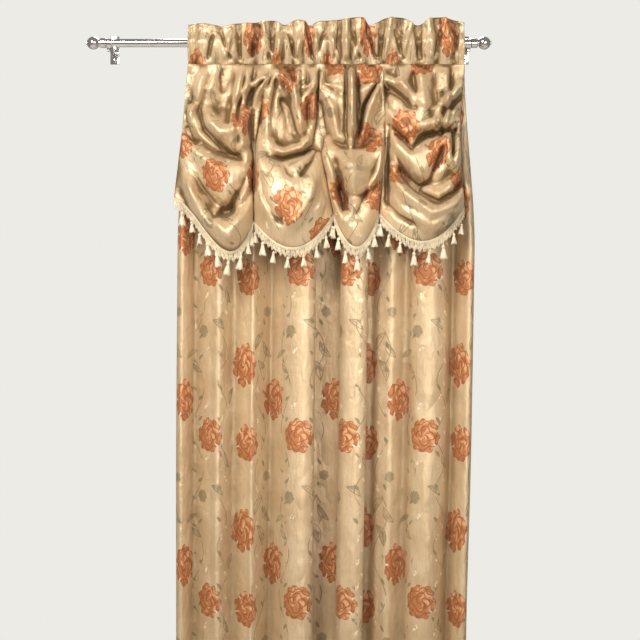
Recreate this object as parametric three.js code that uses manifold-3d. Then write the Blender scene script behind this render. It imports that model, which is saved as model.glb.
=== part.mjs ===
// A rod-pocket curtain panel with an attached, tied-up valance and its tassel fringe, hung on a rod.
// Units are millimetres, +Z is up and -Y is the room's side. The origin is on the wall, behind the rod's
// right end.
import * as THREE from 'three';
import { mergeVertices } from 'three/addons/utils/BufferGeometryUtils.js';
import Module from 'manifold-3d';

const wasm = await Module();
wasm.setup();

// The rod and its fittings.
const ROD_DIAMETER = 16;
const ROD_TO_WALL = 85;
const BRACKET_SPAN = 700;
const ROD_PAST_BRACKET = 5.5;
const ROD_SIDES = 24;
const SEAT_GAP = 0.3;
const BALL_DIAMETER = 25;
const BALL_RINGS = 6;
const FINIAL_SIDES = 16;
const COLLAR_DIAMETER = 19;
const COLLAR_LENGTH = 12;
const COLLAR_EDGE = 1;
const NECK_DIAMETER = 13;
const NECK_LENGTH = 2.5;
const TIP_DIAMETER = 8;
const TIP_LENGTH = 1.5;
const PLATE_WIDTH = 18;
const PLATE_HEIGHT = 56;
const PLATE_THICKNESS = 3;
const PLATE_HOLE = 4.5;
const PLATE_HOLE_AT = 20;
const ARM_WIDTH = 6;
const ARM_HEIGHT = 12;
const CUP_WALL = 3;
const CUP_WIDTH = 9;
const SCREW_DIAMETER = 4;
const SCREW_HEAD_DIAMETER = 8;
const SCREW_HEAD_LENGTH = 5;
const SCREW_SIDES = 12;

// The cloth: sizes as cut, and heights measured from the rod's axis.
const CLOTH_THICKNESS = 2;
const RUFFLE_TOP = 37;
const PANEL_HEM = -2097;
const POCKET_SEAM = -40;
const EDGE_LEFT = -546;
const EDGE_RIGHT = -8;
const HEADING_PLEATS = 18;
const STEPS_PER_PLEAT = 4;
const HEADING_PLEAT_DEPTH = 7;
const OPENED_BY = -400;
// How unevenly the heading is gathered: the pleats' size and place, and its top edge in millimetres, each
// by slow waves across the cloth.
const UNEVEN = {
  size: { amount: 0.2, waves: 5.3, start: 2 },
  place: { amount: 0.5, waves: 3.1, start: 1 },
  topEdge: [
    { amount: 4, waves: 6.2, start: 0.6 },
    { amount: 3, waves: 13.7, start: 0 },
  ],
};
const VALANCE_PLEATS_PER_SWAG = 3;
const VALANCE_PLEAT_DEPTH = 7;
const VALANCE_COLUMNS_PER_SWAG = 13;
const VALANCE_ROWS = 29;
// The share of the valance below its seam over which the creases set in.
const CREASES_FROM = 0.08;
const VALANCE_TOP = -43;
const SWAG_COUNT = 4;
const STANDS_OFF = 4;
// Shares of the valance, down from its seam, by which the seam's even spacing has given way to the tie lines,
// the valance has come clear of the panel, the seam's pleats have faded, and single gathers have set in.
const SEAM_EVENS_OUT = 0.12;
const CLEAR_BY = 0.15;
const SEAM_PLEATS_FADE = 0.25;
const GATHERS_FROM = 0.06;
// How roundly a swag hangs and bulges between its tie lines: 2 is a parabola or a half ellipse.
const HANG_POWER = 2;
const BULGE_POWER = 2.3;
const SWAG_SAMPLES = 48;
const FOLD_SAMPLES = 600;

// The fringe: a lace braid and the tassels on it.
const BRAID_DEPTH = 13;
const BRAID_THICKNESS = 1.6;
const BRAID_CRUSHED = { depth: 2, gap: 1.6 };
const TASSEL_PITCH = 29;
// How far a swag's end tassels stay from the tie lines, as a share of the pitch.
const TASSEL_MARGIN = 0.7;
const TASSEL_HEAD = { neck: 1.2, width: 7.5, height: 9, shoulder: 2 };
const TASSEL_HEAD_SIDES = 4;
const TASSEL_SKIRT = { top: 4.2, bottom: 10, length: 19 };
const LOCKS_PER_TASSEL = 4;
const LOCK_SIDES = 3;
const LOCK_WIDTH = { top: 2, bottom: 5 };
const TASSEL_TURN = 0.9;
const ROOT_DEPTH = 1.5;

const rodY = -ROD_TO_WALL;
const rodRadius = ROD_DIAMETER / 2;

// The heading, pocket and hanging cloth of the panel, from the top down. half is half the pocket's depth
// at a height, and ripple the share of the heading's pleat depth there.
const PANEL_ROWS = [
  { z: RUFFLE_TOP, ripple: 1.25, half: 0 },
  { z: 24, ripple: 0.95, half: 0 },
  { z: 13, ripple: 0.5, half: 1.4 },
  { z: 5, ripple: 0.55, half: 9.6 },
  { z: -5, ripple: 0.6, half: 9.8 },
  { z: -20, ripple: 0.7, half: 6.5 },
  { z: POCKET_SEAM, ripple: 0.8, half: 1.4 },
  { z: -75, ripple: 0.9, half: 0 },
  { z: -130, ripple: 0.8, half: 0 },
  { z: -200, ripple: 0.5, half: 0 },
  { z: -290, ripple: 0.2, half: 0 },
  { z: OPENED_BY, ripple: 0, half: 0 },
  { z: -800, ripple: 0, half: 0 },
  { z: -1400, ripple: 0, half: 0 },
  { z: PANEL_HEM, ripple: 0, half: 0 },
];
const POCKET_FIRST = 2;
const POCKET_LAST = 6;
const POCKET_APEX_TOP = 9.4;
const POCKET_APEX_BOTTOM = -37;

// The panel's hanging folds along a level line: x across, and how far the cloth lies behind the rod's line.
const FOLDS = [
  { x: -570, back: 6 },
  { x: -561, back: -8 },
  { x: -552, back: -2 },
  { x: -534, back: 22 },
  { x: -503, back: -6 },
  { x: -486, back: -20 },
  { x: -458, back: 12 },
  { x: -429, back: -10 },
  { x: -420, back: -18 },
  { x: -388, back: 26 },
  { x: -372, back: 16 },
  { x: -346, back: -22 },
  { x: -322, back: -30 },
  { x: -304, back: -22 },
  { x: -300, back: -10 },
  { x: -334, back: 12 },
  { x: -336, back: 30 },
  { x: -312, back: 44 },
  { x: -285, back: 44 },
  { x: -259, back: 36 },
  { x: -247, back: 20 },
  { x: -251, back: -6 },
  { x: -243, back: -26 },
  { x: -230, back: -33 },
  { x: -212, back: -34 },
  { x: -199, back: -24 },
  { x: -209, back: -2 },
  { x: -204, back: 20 },
  { x: -185, back: 26 },
  { x: -168, back: 8 },
  { x: -150, back: -4 },
  { x: -125, back: 14 },
  { x: -116, back: 12 },
  { x: -104, back: -14 },
  { x: -84, back: -24 },
  { x: -66, back: -22 },
  { x: -48, back: -8 },
  { x: -30, back: 16 },
  { x: -14, back: -8 },
  { x: -4, back: -22 },
  { x: 4, back: -20 },
  { x: 9, back: -4 },
];

// The panel's side edges below the valance lean a little: x is the shift of each edge at a height.
const LEAN = [
  { z: OPENED_BY, left: 3, right: 3 },
  { z: -800, left: 0, right: -4 },
  { z: -1200, left: 0, right: -14 },
  { z: PANEL_HEM, left: -4, right: -12 },
];

// The lines where the valance is tied up, and its free sides: x at the seam, half way down and at the hem,
// and the hem's height there.
const TIES = [
  { top: EDGE_LEFT, middle: -556, low: -570, hem: -304 },
  { top: -386, middle: -413, low: -417, hem: -349 },
  { top: -289, middle: -290, low: -263, hem: -336 },
  { top: -168, middle: -163, low: -176, hem: -334 },
  { top: EDGE_RIGHT, middle: -18, low: -12, hem: -322 },
];

// Each swag down its middle: the height, how far it stands out from its tie lines, and how far across
// (0 left, 1 right) the fold hangs lowest.
const SWAGS = [
  [
    { z: VALANCE_TOP, out: 0, across: 0.5 },
    { z: -95, out: 14, across: 0.5 },
    { z: -132, out: 8, across: 0.42 },
    { z: -170, out: 44, across: 0.5 },
    { z: -212, out: 40, across: 0.6 },
    { z: -222, out: 22, across: 0.62 },
    { z: -262, out: 50, across: 0.66 },
    { z: -306, out: 44, across: 0.68 },
    { z: -326, out: 26, across: 0.68 },
    { z: -352, out: 52, across: 0.68 },
    { z: -382, out: 50, across: 0.68 },
    { z: -400, out: 30, across: 0.68 },
  ],
  [
    { z: VALANCE_TOP, out: 0, across: 0.5 },
    { z: -100, out: 8, across: 0.5 },
    { z: -160, out: 2, across: 0.52 },
    { z: -204, out: 8, across: 0.54 },
    { z: -222, out: 30, across: 0.54 },
    { z: -250, out: 60, across: 0.52 },
    { z: -300, out: 72, across: 0.5 },
    { z: -350, out: 64, across: 0.5 },
    { z: -384, out: 46, across: 0.52 },
    { z: -402, out: 38, across: 0.52 },
  ],
  [
    { z: VALANCE_TOP, out: 0, across: 0.5 },
    { z: -105, out: 20, across: 0.5 },
    { z: -170, out: 16, across: 0.5 },
    { z: -206, out: 10, across: 0.5 },
    { z: -222, out: 36, across: 0.5 },
    { z: -256, out: 60, across: 0.52 },
    { z: -292, out: 48, across: 0.54 },
    { z: -308, out: 26, across: 0.5 },
    { z: -342, out: 46, across: 0.46 },
    { z: -378, out: 40, across: 0.5 },
    { z: -400, out: 30, across: 0.5 },
  ],
  [
    { z: VALANCE_TOP, out: 0, across: 0.5 },
    { z: -105, out: 16, across: 0.5 },
    { z: -152, out: 34, across: 0.5 },
    { z: -180, out: 20, across: 0.5 },
    { z: -216, out: 48, across: 0.46 },
    { z: -264, out: 46, across: 0.48 },
    { z: -284, out: 26, across: 0.54 },
    { z: -312, out: 50, across: 0.58 },
    { z: -350, out: 56, across: 0.54 },
    { z: -390, out: 40, across: 0.52 },
  ],
];

// Single gathers in the valance: where each is (share of the cloth's width), its half-width, how far it
// stands out, and how far down it runs (share of the valance).
const GATHERS = [
  { at: 0.115, wide: 0.02, out: -8, run: 0.3 },
  { at: 0.17, wide: 0.02, out: 9, run: 0.3 },
  { at: 0.31, wide: 0.018, out: 12, run: 0.4 },
  { at: 0.39, wide: 0.018, out: 17, run: 0.45 },
  { at: 0.46, wide: 0.018, out: 10, run: 0.4 },
  { at: 0.57, wide: 0.018, out: 8, run: 0.4 },
  { at: 0.625, wide: 0.02, out: 20, run: 0.45 },
  { at: 0.7, wide: 0.018, out: 8, run: 0.4 },
  { at: 0.81, wide: 0.018, out: 8, run: 0.35 },
  { at: 0.86, wide: 0.018, out: 14, run: 0.4 },
  { at: 0.93, wide: 0.02, out: 12, run: 0.35 },
];

// The creases and rolls laid into the swags by hand: how far each stands out (a roll) or lies back (a crease),
// its half-width, and its run as places [x, z] seen from the room.
const CREASES = [
  { out: -15, wide: 10, path: [[-527, -122], [-510, -173], [-476, -211], [-429, -240]] },
  { out: 11, wide: 13, path: [[-520, -118], [-503, -156], [-480, -183], [-448, -177], [-383, -63]] },
  { out: 6, wide: 13, path: [[-546, -173], [-520, -219], [-474, -253], [-436, -232], [-419, -189]] },
  { out: -11, wide: 8, path: [[-548, -162], [-537, -189], [-522, -206]] },
  { out: 11, wide: 13, path: [[-550, -228], [-531, -299], [-464, -380], [-448, -350], [-419, -232]] },
  { out: -15, wide: 13, path: [[-516, -304], [-490, -344], [-461, -329], [-438, -287], [-425, -249]] },
  { out: -14, wide: 9, path: [[-418, -96], [-421, -173], [-417, -232], [-414, -308]] },
  { out: -5, wide: 10, path: [[-480, -41], [-478, -105]] },
  { out: 13, wide: 9, path: [[-381, -50], [-347, -84], [-335, -113], [-329, -156], [-328, -189]] },
  { out: -12, wide: 9, path: [[-370, -105], [-347, -147], [-333, -189]] },
  { out: 10, wide: 9, path: [[-389, -75], [-393, -126], [-389, -189], [-372, -213]] },
  { out: 11, wide: 9, path: [[-290, -82], [-309, -94], [-321, -134], [-326, -189]] },
  { out: -15, wide: 8, path: [[-387, -228], [-361, -232], [-320, -220], [-300, -203], [-293, -147]] },
  { out: 11, wide: 9, path: [[-389, -206], [-359, -217], [-326, -206], [-307, -185], [-298, -113]] },
  { out: 7, wide: 11, path: [[-408, -173], [-410, -232], [-404, -299], [-372, -359]] },
  { out: -9, wide: 8, path: [[-290, -198], [-305, -236], [-330, -274]] },
  { out: -11, wide: 8, path: [[-292, -105], [-285, -173], [-288, -223]] },
  { out: 9, wide: 9, path: [[-285, -206], [-269, -257], [-262, -316]] },
  { out: -9, wide: 8, path: [[-262, -223], [-247, -274], [-245, -342]] },
  { out: 16, wide: 10, path: [[-230, -46], [-228, -75], [-226, -173], [-226, -194]] },
  { out: -9, wide: 8, path: [[-217, -46], [-215, -173], [-222, -202]] },
  { out: 11, wide: 9, path: [[-288, -79], [-266, -134], [-256, -185], [-233, -200]] },
  { out: 13, wide: 11, path: [[-171, -67], [-184, -105], [-203, -151], [-218, -206]] },
  { out: 10, wide: 28, path: [[-228, -211], [-226, -257]] },
  { out: -14, wide: 8, path: [[-279, -211], [-245, -274], [-233, -304], [-209, -291], [-173, -228]] },
  { out: 11, wide: 10, path: [[-241, -350], [-207, -308], [-178, -257], [-165, -189]] },
  { out: -13, wide: 8, path: [[-156, -164], [-159, -240], [-161, -325]] },
  { out: 11, wide: 9, path: [[-167, -67], [-135, -84], [-108, -109], [-106, -134]] },
  { out: 11, wide: 12, path: [[-87, -46], [-85, -139]] },
  { out: -8, wide: 9, path: [[-108, -46], [-104, -147]] },
  { out: -7, wide: 9, path: [[-67, -46], [-64, -139]] },
  { out: 11, wide: 11, path: [[-161, -139], [-127, -177], [-87, -168], [-55, -160], [-13, -160]] },
  { out: -11, wide: 8, path: [[-152, -164], [-114, -211], [-86, -185], [-51, -177], [-15, -173]] },
  { out: 12, wide: 9, path: [[-8, -78], [-34, -105], [-58, -129]] },
  { out: -12, wide: 8, path: [[-152, -211], [-114, -266], [-93, -291], [-74, -257], [-51, -206]] },
  { out: 12, wide: 9, path: [[-46, -173], [-43, -232], [-30, -249], [-19, -189]] },
  { out: 13, wide: 12, path: [[-162, -240], [-127, -299], [-78, -337], [-34, -321], [-8, -285]] },
  { out: -15, wide: 10, path: [[-152, -232], [-101, -295], [-63, -316], [-30, -295], [-10, -257]] },
];
// A crease starts and ends shallow: the share of its depth at its ends, and the share of its run that it takes.
const CREASE_END = { depth: 0.25, run: 0.18 };

const SATIN = { color: 0xd0ae7c, roughness: 0.38, metalness: 0.1 };
const LACE = { color: 0xe0cda6, roughness: 0.8, metalness: 0 };
const NICKEL = { color: 0xc9c6c0, roughness: 0.18, metalness: 1 };

function easeInOut(t) {
  const s = Math.min(1, Math.max(0, t));
  return s * s * (3 - 2 * s);
}

// A smooth curve through named columns of a table, read at a place in the key column.
function curveThrough(keys, values) {
  const last = keys.length - 1;
  const slopeAt = (i) => {
    const before = Math.max(0, i - 1);
    const after = Math.min(last, i + 1);
    return (values[after] - values[before]) / (keys[after] - keys[before]);
  };
  const slopes = keys.map((_, i) => slopeAt(i));
  return (at) => {
    let i = 0;
    while (i < last - 1 && at > keys[i + 1]) i += 1;
    const step = keys[i + 1] - keys[i];
    const t = Math.min(1, Math.max(0, (at - keys[i]) / step));
    const t2 = t * t;
    const t3 = t2 * t;
    return (2 * t3 - 3 * t2 + 1) * values[i]
      + (t3 - 2 * t2 + t) * step * slopes[i]
      + (3 * t2 - 2 * t3) * values[i + 1]
      + (t3 - t2) * step * slopes[i + 1];
  };
}

function runningLength(points) {
  const lengths = [0];
  for (let i = 1; i < points.length; i += 1) {
    lengths.push(lengths[i - 1] + Math.hypot(...points[i].map((p, k) => p - points[i - 1][k])));
  }
  return lengths;
}

// Places along a curve of samples at equal shares of its length.
function evenly(points, shares) {
  const lengths = runningLength(points);
  const total = lengths[lengths.length - 1];
  return shares.map((share) => {
    const want = share * total;
    let i = 0;
    while (i < lengths.length - 2 && lengths[i + 1] < want) i += 1;
    const t = (want - lengths[i]) / Math.max(lengths[i + 1] - lengths[i], 1e-9);
    return points[i].map((p, k) => p + (points[i + 1][k] - p) * Math.min(1, Math.max(0, t)));
  });
}

function steps(count) {
  return Array.from({ length: count + 1 }, (_, i) => i / count);
}

// Where the gathers leave a place of the cloth's width along the rod.
const gatherX = curveThrough(TIES.map((_, i) => i / SWAG_COUNT), TIES.map((tie) => tie.top));

// A slow swell from -1 to 1 along the cloth.
function swell({ waves, start }, c) {
  return Math.sin(2 * Math.PI * waves * c + start);
}

// The heading's uneven gathers, -1 to the wall and 1 to the room.
function headingWave(c) {
  const size = 1 - UNEVEN.size.amount * (1 - swell(UNEVEN.size, c));
  return size * Math.cos(2 * Math.PI * HEADING_PLEATS * c + UNEVEN.place.amount * swell(UNEVEN.place, c));
}

// The ruffle's top edge dips and rises between its gathers.
function ruffleRise(c) {
  return UNEVEN.topEdge.reduce((sum, wave) => sum + wave.amount * swell(wave, c), 0);
}

function foldLine() {
  const corners = FOLDS.map((fold) => [fold.x, fold.back]);
  const keys = runningLength(corners);
  const across = curveThrough(keys, corners.map((p) => p[0]));
  const back = curveThrough(keys, corners.map((p) => p[1]));
  const length = keys[keys.length - 1];
  return steps(FOLD_SAMPLES).map((s) => [across(s * length), back(s * length)]);
}

const panelShares = steps(HEADING_PLEATS * STEPS_PER_PLEAT);
const hangingFolds = evenly(foldLine(), panelShares);
const leanKeys = LEAN.map((row) => -row.z);
const leanLeft = curveThrough(leanKeys, LEAN.map((row) => row.left));
const leanRight = curveThrough(leanKeys, LEAN.map((row) => row.right));

// The middle of the panel's cloth along one row, on the wall's side (side 1), the room's side (-1) or
// both at once (0).
function panelRow(row, side) {
  const opened = easeInOut((POCKET_SEAM - row.z) / (POCKET_SEAM - OPENED_BY));
  return panelShares.map((c, i) => {
    const shift = leanLeft(-row.z) * (1 - c) + leanRight(-row.z) * c;
    const x = gatherX(c) * (1 - opened) + (hangingFolds[i][0] + shift) * opened;
    const ripple = side === 0
      ? HEADING_PLEAT_DEPTH * headingWave(c)
      : -side * HEADING_PLEAT_DEPTH * (0.5 - 0.5 * side * headingWave(c));
    const y = rodY + side * row.half - ripple * row.ripple + hangingFolds[i][1] * opened;
    const z = row.z === RUFFLE_TOP ? row.z + ruffleRise(c) : row.z;
    return [x, y, z];
  });
}

// Moves a row of cloth sideways to its own run, by a distance towards the room (negative) or the wall.
function beside(row, distance) {
  return row.map((p, i) => {
    const before = row[Math.max(0, i - 1)];
    const after = row[Math.min(row.length - 1, i + 1)];
    const run = Math.hypot(after[0] - before[0], after[1] - before[1]);
    const nx = -(after[1] - before[1]) / run;
    const ny = (after[0] - before[0]) / run;
    return [p[0] + nx * distance, p[1] + ny * distance, p[2]];
  });
}

// Collects rows of points into one closed triangle mesh.
class ClosedCloth {
  constructor() {
    this.points = [];
    this.faces = [];
  }

  row(points) {
    return points.map((p) => this.points.push(...p) / 3 - 1);
  }

  strip(upper, lower, flip) {
    for (let i = 0; i + 1 < upper.length; i += 1) {
      this.quad(upper[i], lower[i], lower[i + 1], upper[i + 1], flip);
    }
  }

  quad(a, b, c, d, flip = false) {
    if (flip) this.faces.push(a, c, b, a, d, c);
    else this.faces.push(a, b, c, a, c, d);
  }

  fan(ring) {
    for (let i = 1; i + 1 < ring.length; i += 1) this.faces.push(ring[0], ring[i], ring[i + 1]);
  }

  geometry() {
    const geometry = new THREE.BufferGeometry();
    geometry.setAttribute('position', new THREE.BufferAttribute(new Float32Array(this.points), 3));
    geometry.setIndex(this.faces);
    return geometry;
  }
}

function panelGeometry() {
  const cloth = new ClosedCloth();
  const half = CLOTH_THICKNESS / 2;
  const inPocket = (r) => r > POCKET_FIRST && r < POCKET_LAST;
  const split = (r) => r >= POCKET_FIRST && r <= POCKET_LAST;
  const front = PANEL_ROWS.map((row, r) => cloth.row(beside(panelRow(row, split(r) ? -1 : 0), -half)));
  const back = PANEL_ROWS.map((row, r) => cloth.row(beside(panelRow(row, split(r) ? 1 : 0), half)));
  const apex = (z) => cloth.row(panelShares.map((c) => [gatherX(c), rodY, z]));
  const inside = (side) => PANEL_ROWS.map((row, r) => (
    inPocket(r) ? cloth.row(beside(panelRow(row, side), -side * half)) : null
  ));
  const [insideFront, insideBack] = [inside(-1), inside(1)];
  insideFront[POCKET_FIRST] = apex(POCKET_APEX_TOP);
  insideBack[POCKET_FIRST] = insideFront[POCKET_FIRST];
  insideFront[POCKET_LAST] = apex(POCKET_APEX_BOTTOM);
  insideBack[POCKET_LAST] = insideFront[POCKET_LAST];
  const last = PANEL_ROWS.length - 1;
  for (let r = 0; r < last; r += 1) {
    cloth.strip(front[r], front[r + 1], false);
    cloth.strip(back[r], back[r + 1], true);
    if (r >= POCKET_FIRST && r < POCKET_LAST) {
      cloth.strip(insideFront[r], insideFront[r + 1], true);
      cloth.strip(insideBack[r], insideBack[r + 1], false);
    }
  }
  cloth.strip(back[0], front[0], false);
  cloth.strip(front[last], back[last], false);
  sideOfPanel(cloth, front, back, insideFront, insideBack, 0);
  sideOfPanel(cloth, front, back, insideFront, insideBack, panelShares.length - 1);
  return cloth.geometry();
}

// Closes one side edge of the panel, leaving the pocket open for the rod.
function sideOfPanel(cloth, front, back, insideFront, insideBack, column) {
  const close = (ring) => cloth.fan(column === 0 ? ring : ring.slice().reverse());
  for (let r = 0; r + 1 < PANEL_ROWS.length; r += 1) {
    const [f0, f1, b0, b1] = [front[r][column], front[r + 1][column], back[r][column], back[r + 1][column]];
    if (r === POCKET_FIRST - 1) {
      close([f0, b0, b1, insideFront[POCKET_FIRST][column], f1]);
    } else if (r === POCKET_LAST) {
      close([b1, f1, f0, insideFront[POCKET_LAST][column], b0]);
    } else if (r >= POCKET_FIRST && r < POCKET_LAST) {
      close([f0, insideFront[r][column], insideFront[r + 1][column], f1]);
      close([insideBack[r][column], b0, b1, insideBack[r + 1][column]]);
    } else {
      close([f0, b0, b1, f1]);
    }
  }
}

// How far in front of the rod's axis the panel reaches at a height.
const panelReach = curveThrough(
  [-VALANCE_TOP, 75, 130, 200, 290, -OPENED_BY],
  [7.1, 9.2, 14, 22, 33, 41],
);

function tieAt(i, v) {
  const tie = TIES[i];
  const across = curveThrough([0, 0.5, 1], [tie.top, tie.middle, tie.low]);
  const z = VALANCE_TOP + (tie.hem - VALANCE_TOP) * v;
  const seamed = CLOTH_THICKNESS / 2 + SEAT_GAP;
  const clear = seamed + (STANDS_OFF - seamed) * easeInOut(v / CLEAR_BY);
  return [across(v), rodY - panelReach(-z) - clear, z];
}

function swagProfile(rows) {
  const keys = runningLength(rows.map((row) => [row.z, row.out]));
  const length = keys[keys.length - 1];
  const curves = ['z', 'out', 'across'].map((name) => curveThrough(keys, rows.map((row) => row[name])));
  return (v) => curves.map((curve) => curve(v * length));
}

const swagProfiles = SWAGS.map(swagProfile);

// How far single gathers and the seam's pleats stand out at a place of the valance.
function valanceGathers(c, v) {
  const seamPleats = 0.5 + 0.5 * Math.cos(2 * Math.PI * SWAG_COUNT * VALANCE_PLEATS_PER_SWAG * c);
  const single = GATHERS.reduce((sum, gather) => {
    const near = Math.exp(-(((c - gather.at) / gather.wide) ** 2));
    const fade = easeInOut(v / GATHERS_FROM) * easeInOut((gather.run - v) / (0.5 * gather.run));
    return sum + gather.out * near * fade;
  }, 0);
  return VALANCE_PLEAT_DEPTH * seamPleats * easeInOut(1 - v / SEAM_PLEATS_FADE) + single;
}

// The place along a crease's run that is nearest to a point: how far off it is, and its share of the run.
function nearestOnRun(path, x, z) {
  const lengths = runningLength(path);
  const total = lengths[lengths.length - 1];
  let nearest = { away: Infinity, share: 0 };
  for (let i = 0; i + 1 < path.length; i += 1) {
    const [ax, az] = path[i];
    const [dx, dz] = [path[i + 1][0] - ax, path[i + 1][1] - az];
    const t = Math.min(1, Math.max(0, ((x - ax) * dx + (z - az) * dz) / (dx * dx + dz * dz)));
    const away = Math.hypot(x - ax - t * dx, z - az - t * dz);
    if (away < nearest.away) {
      nearest = { away, share: (lengths[i] + t * (lengths[i + 1] - lengths[i])) / total };
    }
  }
  return nearest;
}

// How far the creases and rolls move the cloth towards the room at a place.
function creasedOut(x, z) {
  return CREASES.reduce((sum, crease) => {
    const { away, share } = nearestOnRun(crease.path, x, z);
    const fromEnd = easeInOut(Math.min(share, 1 - share) / CREASE_END.run);
    const depth = CREASE_END.depth + (1 - CREASE_END.depth) * fromEnd;
    return sum + crease.out * depth * Math.exp(-((away / crease.wide) ** 2));
  }, 0);
}

// One swag's cloth along one row, from one tie line to the next.
function swagRow(i, v, shares) {
  const left = tieAt(i, v);
  const right = tieAt(i + 1, v);
  const [lowest, out, across] = swagProfiles[i](v);
  const level = easeInOut(v / SEAM_EVENS_OUT);
  const points = steps(SWAG_SAMPLES).map((q) => {
    const s = Math.abs(2 * q ** (Math.log(0.5) / Math.log(across)) - 1);
    const hang = 1 - s ** HANG_POWER;
    const bulge = Math.sqrt(Math.max(0, 1 - s ** BULGE_POWER));
    const straight = left.map((a, k) => a + (right[k] - a) * q);
    return [
      gatherX((i + q) / SWAG_COUNT) * (1 - level) + straight[0] * level,
      straight[1] - out * bulge,
      straight[2] + (lowest - (left[2] + right[2]) / 2) * hang,
    ];
  });
  const laid = easeInOut(v / CREASES_FROM);
  return evenly(points, shares).map(([x, y, z], k) => {
    const gathered = valanceGathers((i + shares[k]) / SWAG_COUNT, v);
    return [x, y - gathered - laid * creasedOut(x, z), z];
  });
}

const swagShares = steps(VALANCE_COLUMNS_PER_SWAG);

function valanceRow(v) {
  return SWAGS.flatMap((_, i) => swagRow(i, v, swagShares).slice(i === 0 ? 0 : 1));
}

const valanceGrid = steps(VALANCE_ROWS).map(valanceRow);

function facing(grid, r, i) {
  const at = (row, column) => new THREE.Vector3(
    ...grid[Math.min(grid.length - 1, Math.max(0, row))][Math.min(grid[0].length - 1, Math.max(0, column))],
  );
  const along = at(r, i + 1).sub(at(r, i - 1));
  const down = at(r + 1, i).sub(at(r - 1, i));
  return down.cross(along).normalize();
}

function valanceGeometry() {
  const cloth = new ClosedCloth();
  const side = (distance) => valanceGrid.map((row, r) => cloth.row(row.map((p, i) => {
    const n = facing(valanceGrid, r, i);
    return [p[0] + n.x * distance, p[1] + n.y * distance, p[2] + n.z * distance];
  })));
  const front = side(CLOTH_THICKNESS / 2);
  const back = side(-CLOTH_THICKNESS / 2);
  const last = valanceGrid.length - 1;
  const end = valanceGrid[0].length - 1;
  for (let r = 0; r < last; r += 1) {
    cloth.strip(front[r], front[r + 1], false);
    cloth.strip(back[r], back[r + 1], true);
    cloth.quad(front[r][0], back[r][0], back[r + 1][0], front[r + 1][0]);
    cloth.quad(back[r][end], front[r][end], front[r + 1][end], back[r + 1][end]);
  }
  cloth.strip(back[0], front[0], false);
  cloth.strip(front[last], back[last], false);
  return cloth.geometry();
}

const hem = valanceGrid.length - 1;

// The braid's rows: its upper edge goes on from the valance's hem, and its lower edge hangs straight down.
// It is crushed narrow where the hem turns back into a tie.
const isTied = (i) => i % VALANCE_COLUMNS_PER_SWAG === 0 && i > 0 && i < SWAG_COUNT * VALANCE_COLUMNS_PER_SWAG;
const braidTop = valanceGrid[hem].map((p, i) => {
  const down = new THREE.Vector3(...p).sub(new THREE.Vector3(...valanceGrid[hem - 1][i])).normalize();
  const gap = SEAT_GAP + (isTied(i) ? BRAID_CRUSHED.gap : 0);
  return new THREE.Vector3(...p).addScaledVector(down, gap).toArray();
});
const braidLow = braidTop.map(([x, y, z], i) => [x, y, z - (isTied(i) ? BRAID_CRUSHED.depth : BRAID_DEPTH)]);

function braidGeometry() {
  const cloth = new ClosedCloth();
  const half = BRAID_THICKNESS / 2;
  const upper = (distance) => cloth.row(braidTop.map((p, i) => (
    new THREE.Vector3(...p).addScaledVector(facing(valanceGrid, hem, i), distance).toArray()
  )));
  const [frontTop, backTop] = [upper(half), upper(-half)];
  const [frontLow, backLow] = [cloth.row(beside(braidLow, -half)), cloth.row(beside(braidLow, half))];
  const end = braidTop.length - 1;
  cloth.strip(frontTop, frontLow, false);
  cloth.strip(backTop, backLow, true);
  cloth.strip(backTop, frontTop, false);
  cloth.strip(frontLow, backLow, false);
  cloth.quad(frontTop[0], backTop[0], backLow[0], frontLow[0]);
  cloth.quad(backTop[end], frontTop[end], frontLow[end], backLow[end]);
  return cloth.geometry();
}

function toSolid(geometry) {
  const bare = geometry.clone();
  bare.deleteAttribute('normal');
  bare.deleteAttribute('uv');
  const merged = mergeVertices(bare, 1e-4);
  return new wasm.Manifold(new wasm.Mesh({
    numProp: 3,
    vertProperties: new Float32Array(merged.attributes.position.array),
    triVerts: new Uint32Array(merged.index.array),
  }));
}

function toGeometry(solid) {
  const mesh = solid.getMesh();
  const geometry = new THREE.BufferGeometry();
  geometry.setAttribute('position', new THREE.BufferAttribute(new Float32Array(mesh.vertProperties), 3));
  geometry.setIndex(Array.from(mesh.triVerts));
  return geometry;
}

function joined(geometries) {
  return toGeometry(geometries.map(toSolid).reduce((whole, piece) => whole.add(piece)));
}

// One tassel hung at a point: its wrapped head, and thread locks spread into a skirt.
function tasselPieces(x, y, z, turn) {
  const outline = [
    [0, ROOT_DEPTH],
    [TASSEL_HEAD.neck / 2, ROOT_DEPTH],
    [TASSEL_HEAD.neck / 2, 0],
    [TASSEL_HEAD.width / 2, -TASSEL_HEAD.shoulder],
    [TASSEL_HEAD.width / 2, -TASSEL_HEAD.height],
    [0, -TASSEL_HEAD.height],
  ].map(([radius, height]) => new THREE.Vector2(radius, height));
  const head = new THREE.LatheGeometry(outline.reverse(), TASSEL_HEAD_SIDES);
  head.rotateX(Math.PI / 2).rotateZ(turn).translate(x, y, z);
  const spread = Math.atan2((TASSEL_SKIRT.bottom - TASSEL_SKIRT.top) / 2, TASSEL_SKIRT.length);
  const locks = steps(LOCKS_PER_TASSEL).slice(1).map((share) => {
    const lock = new THREE.CylinderGeometry(
      LOCK_WIDTH.top / 2, LOCK_WIDTH.bottom / 2, TASSEL_SKIRT.length + ROOT_DEPTH, LOCK_SIDES,
    );
    lock.rotateX(Math.PI / 2).translate(0, 0, (ROOT_DEPTH - TASSEL_SKIRT.length) / 2).rotateY(-spread);
    lock.translate(TASSEL_SKIRT.top / 2, 0, 0).rotateZ(2 * Math.PI * share + turn);
    return lock.translate(x, y, z - TASSEL_HEAD.height);
  });
  return [head, ...locks];
}

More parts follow.
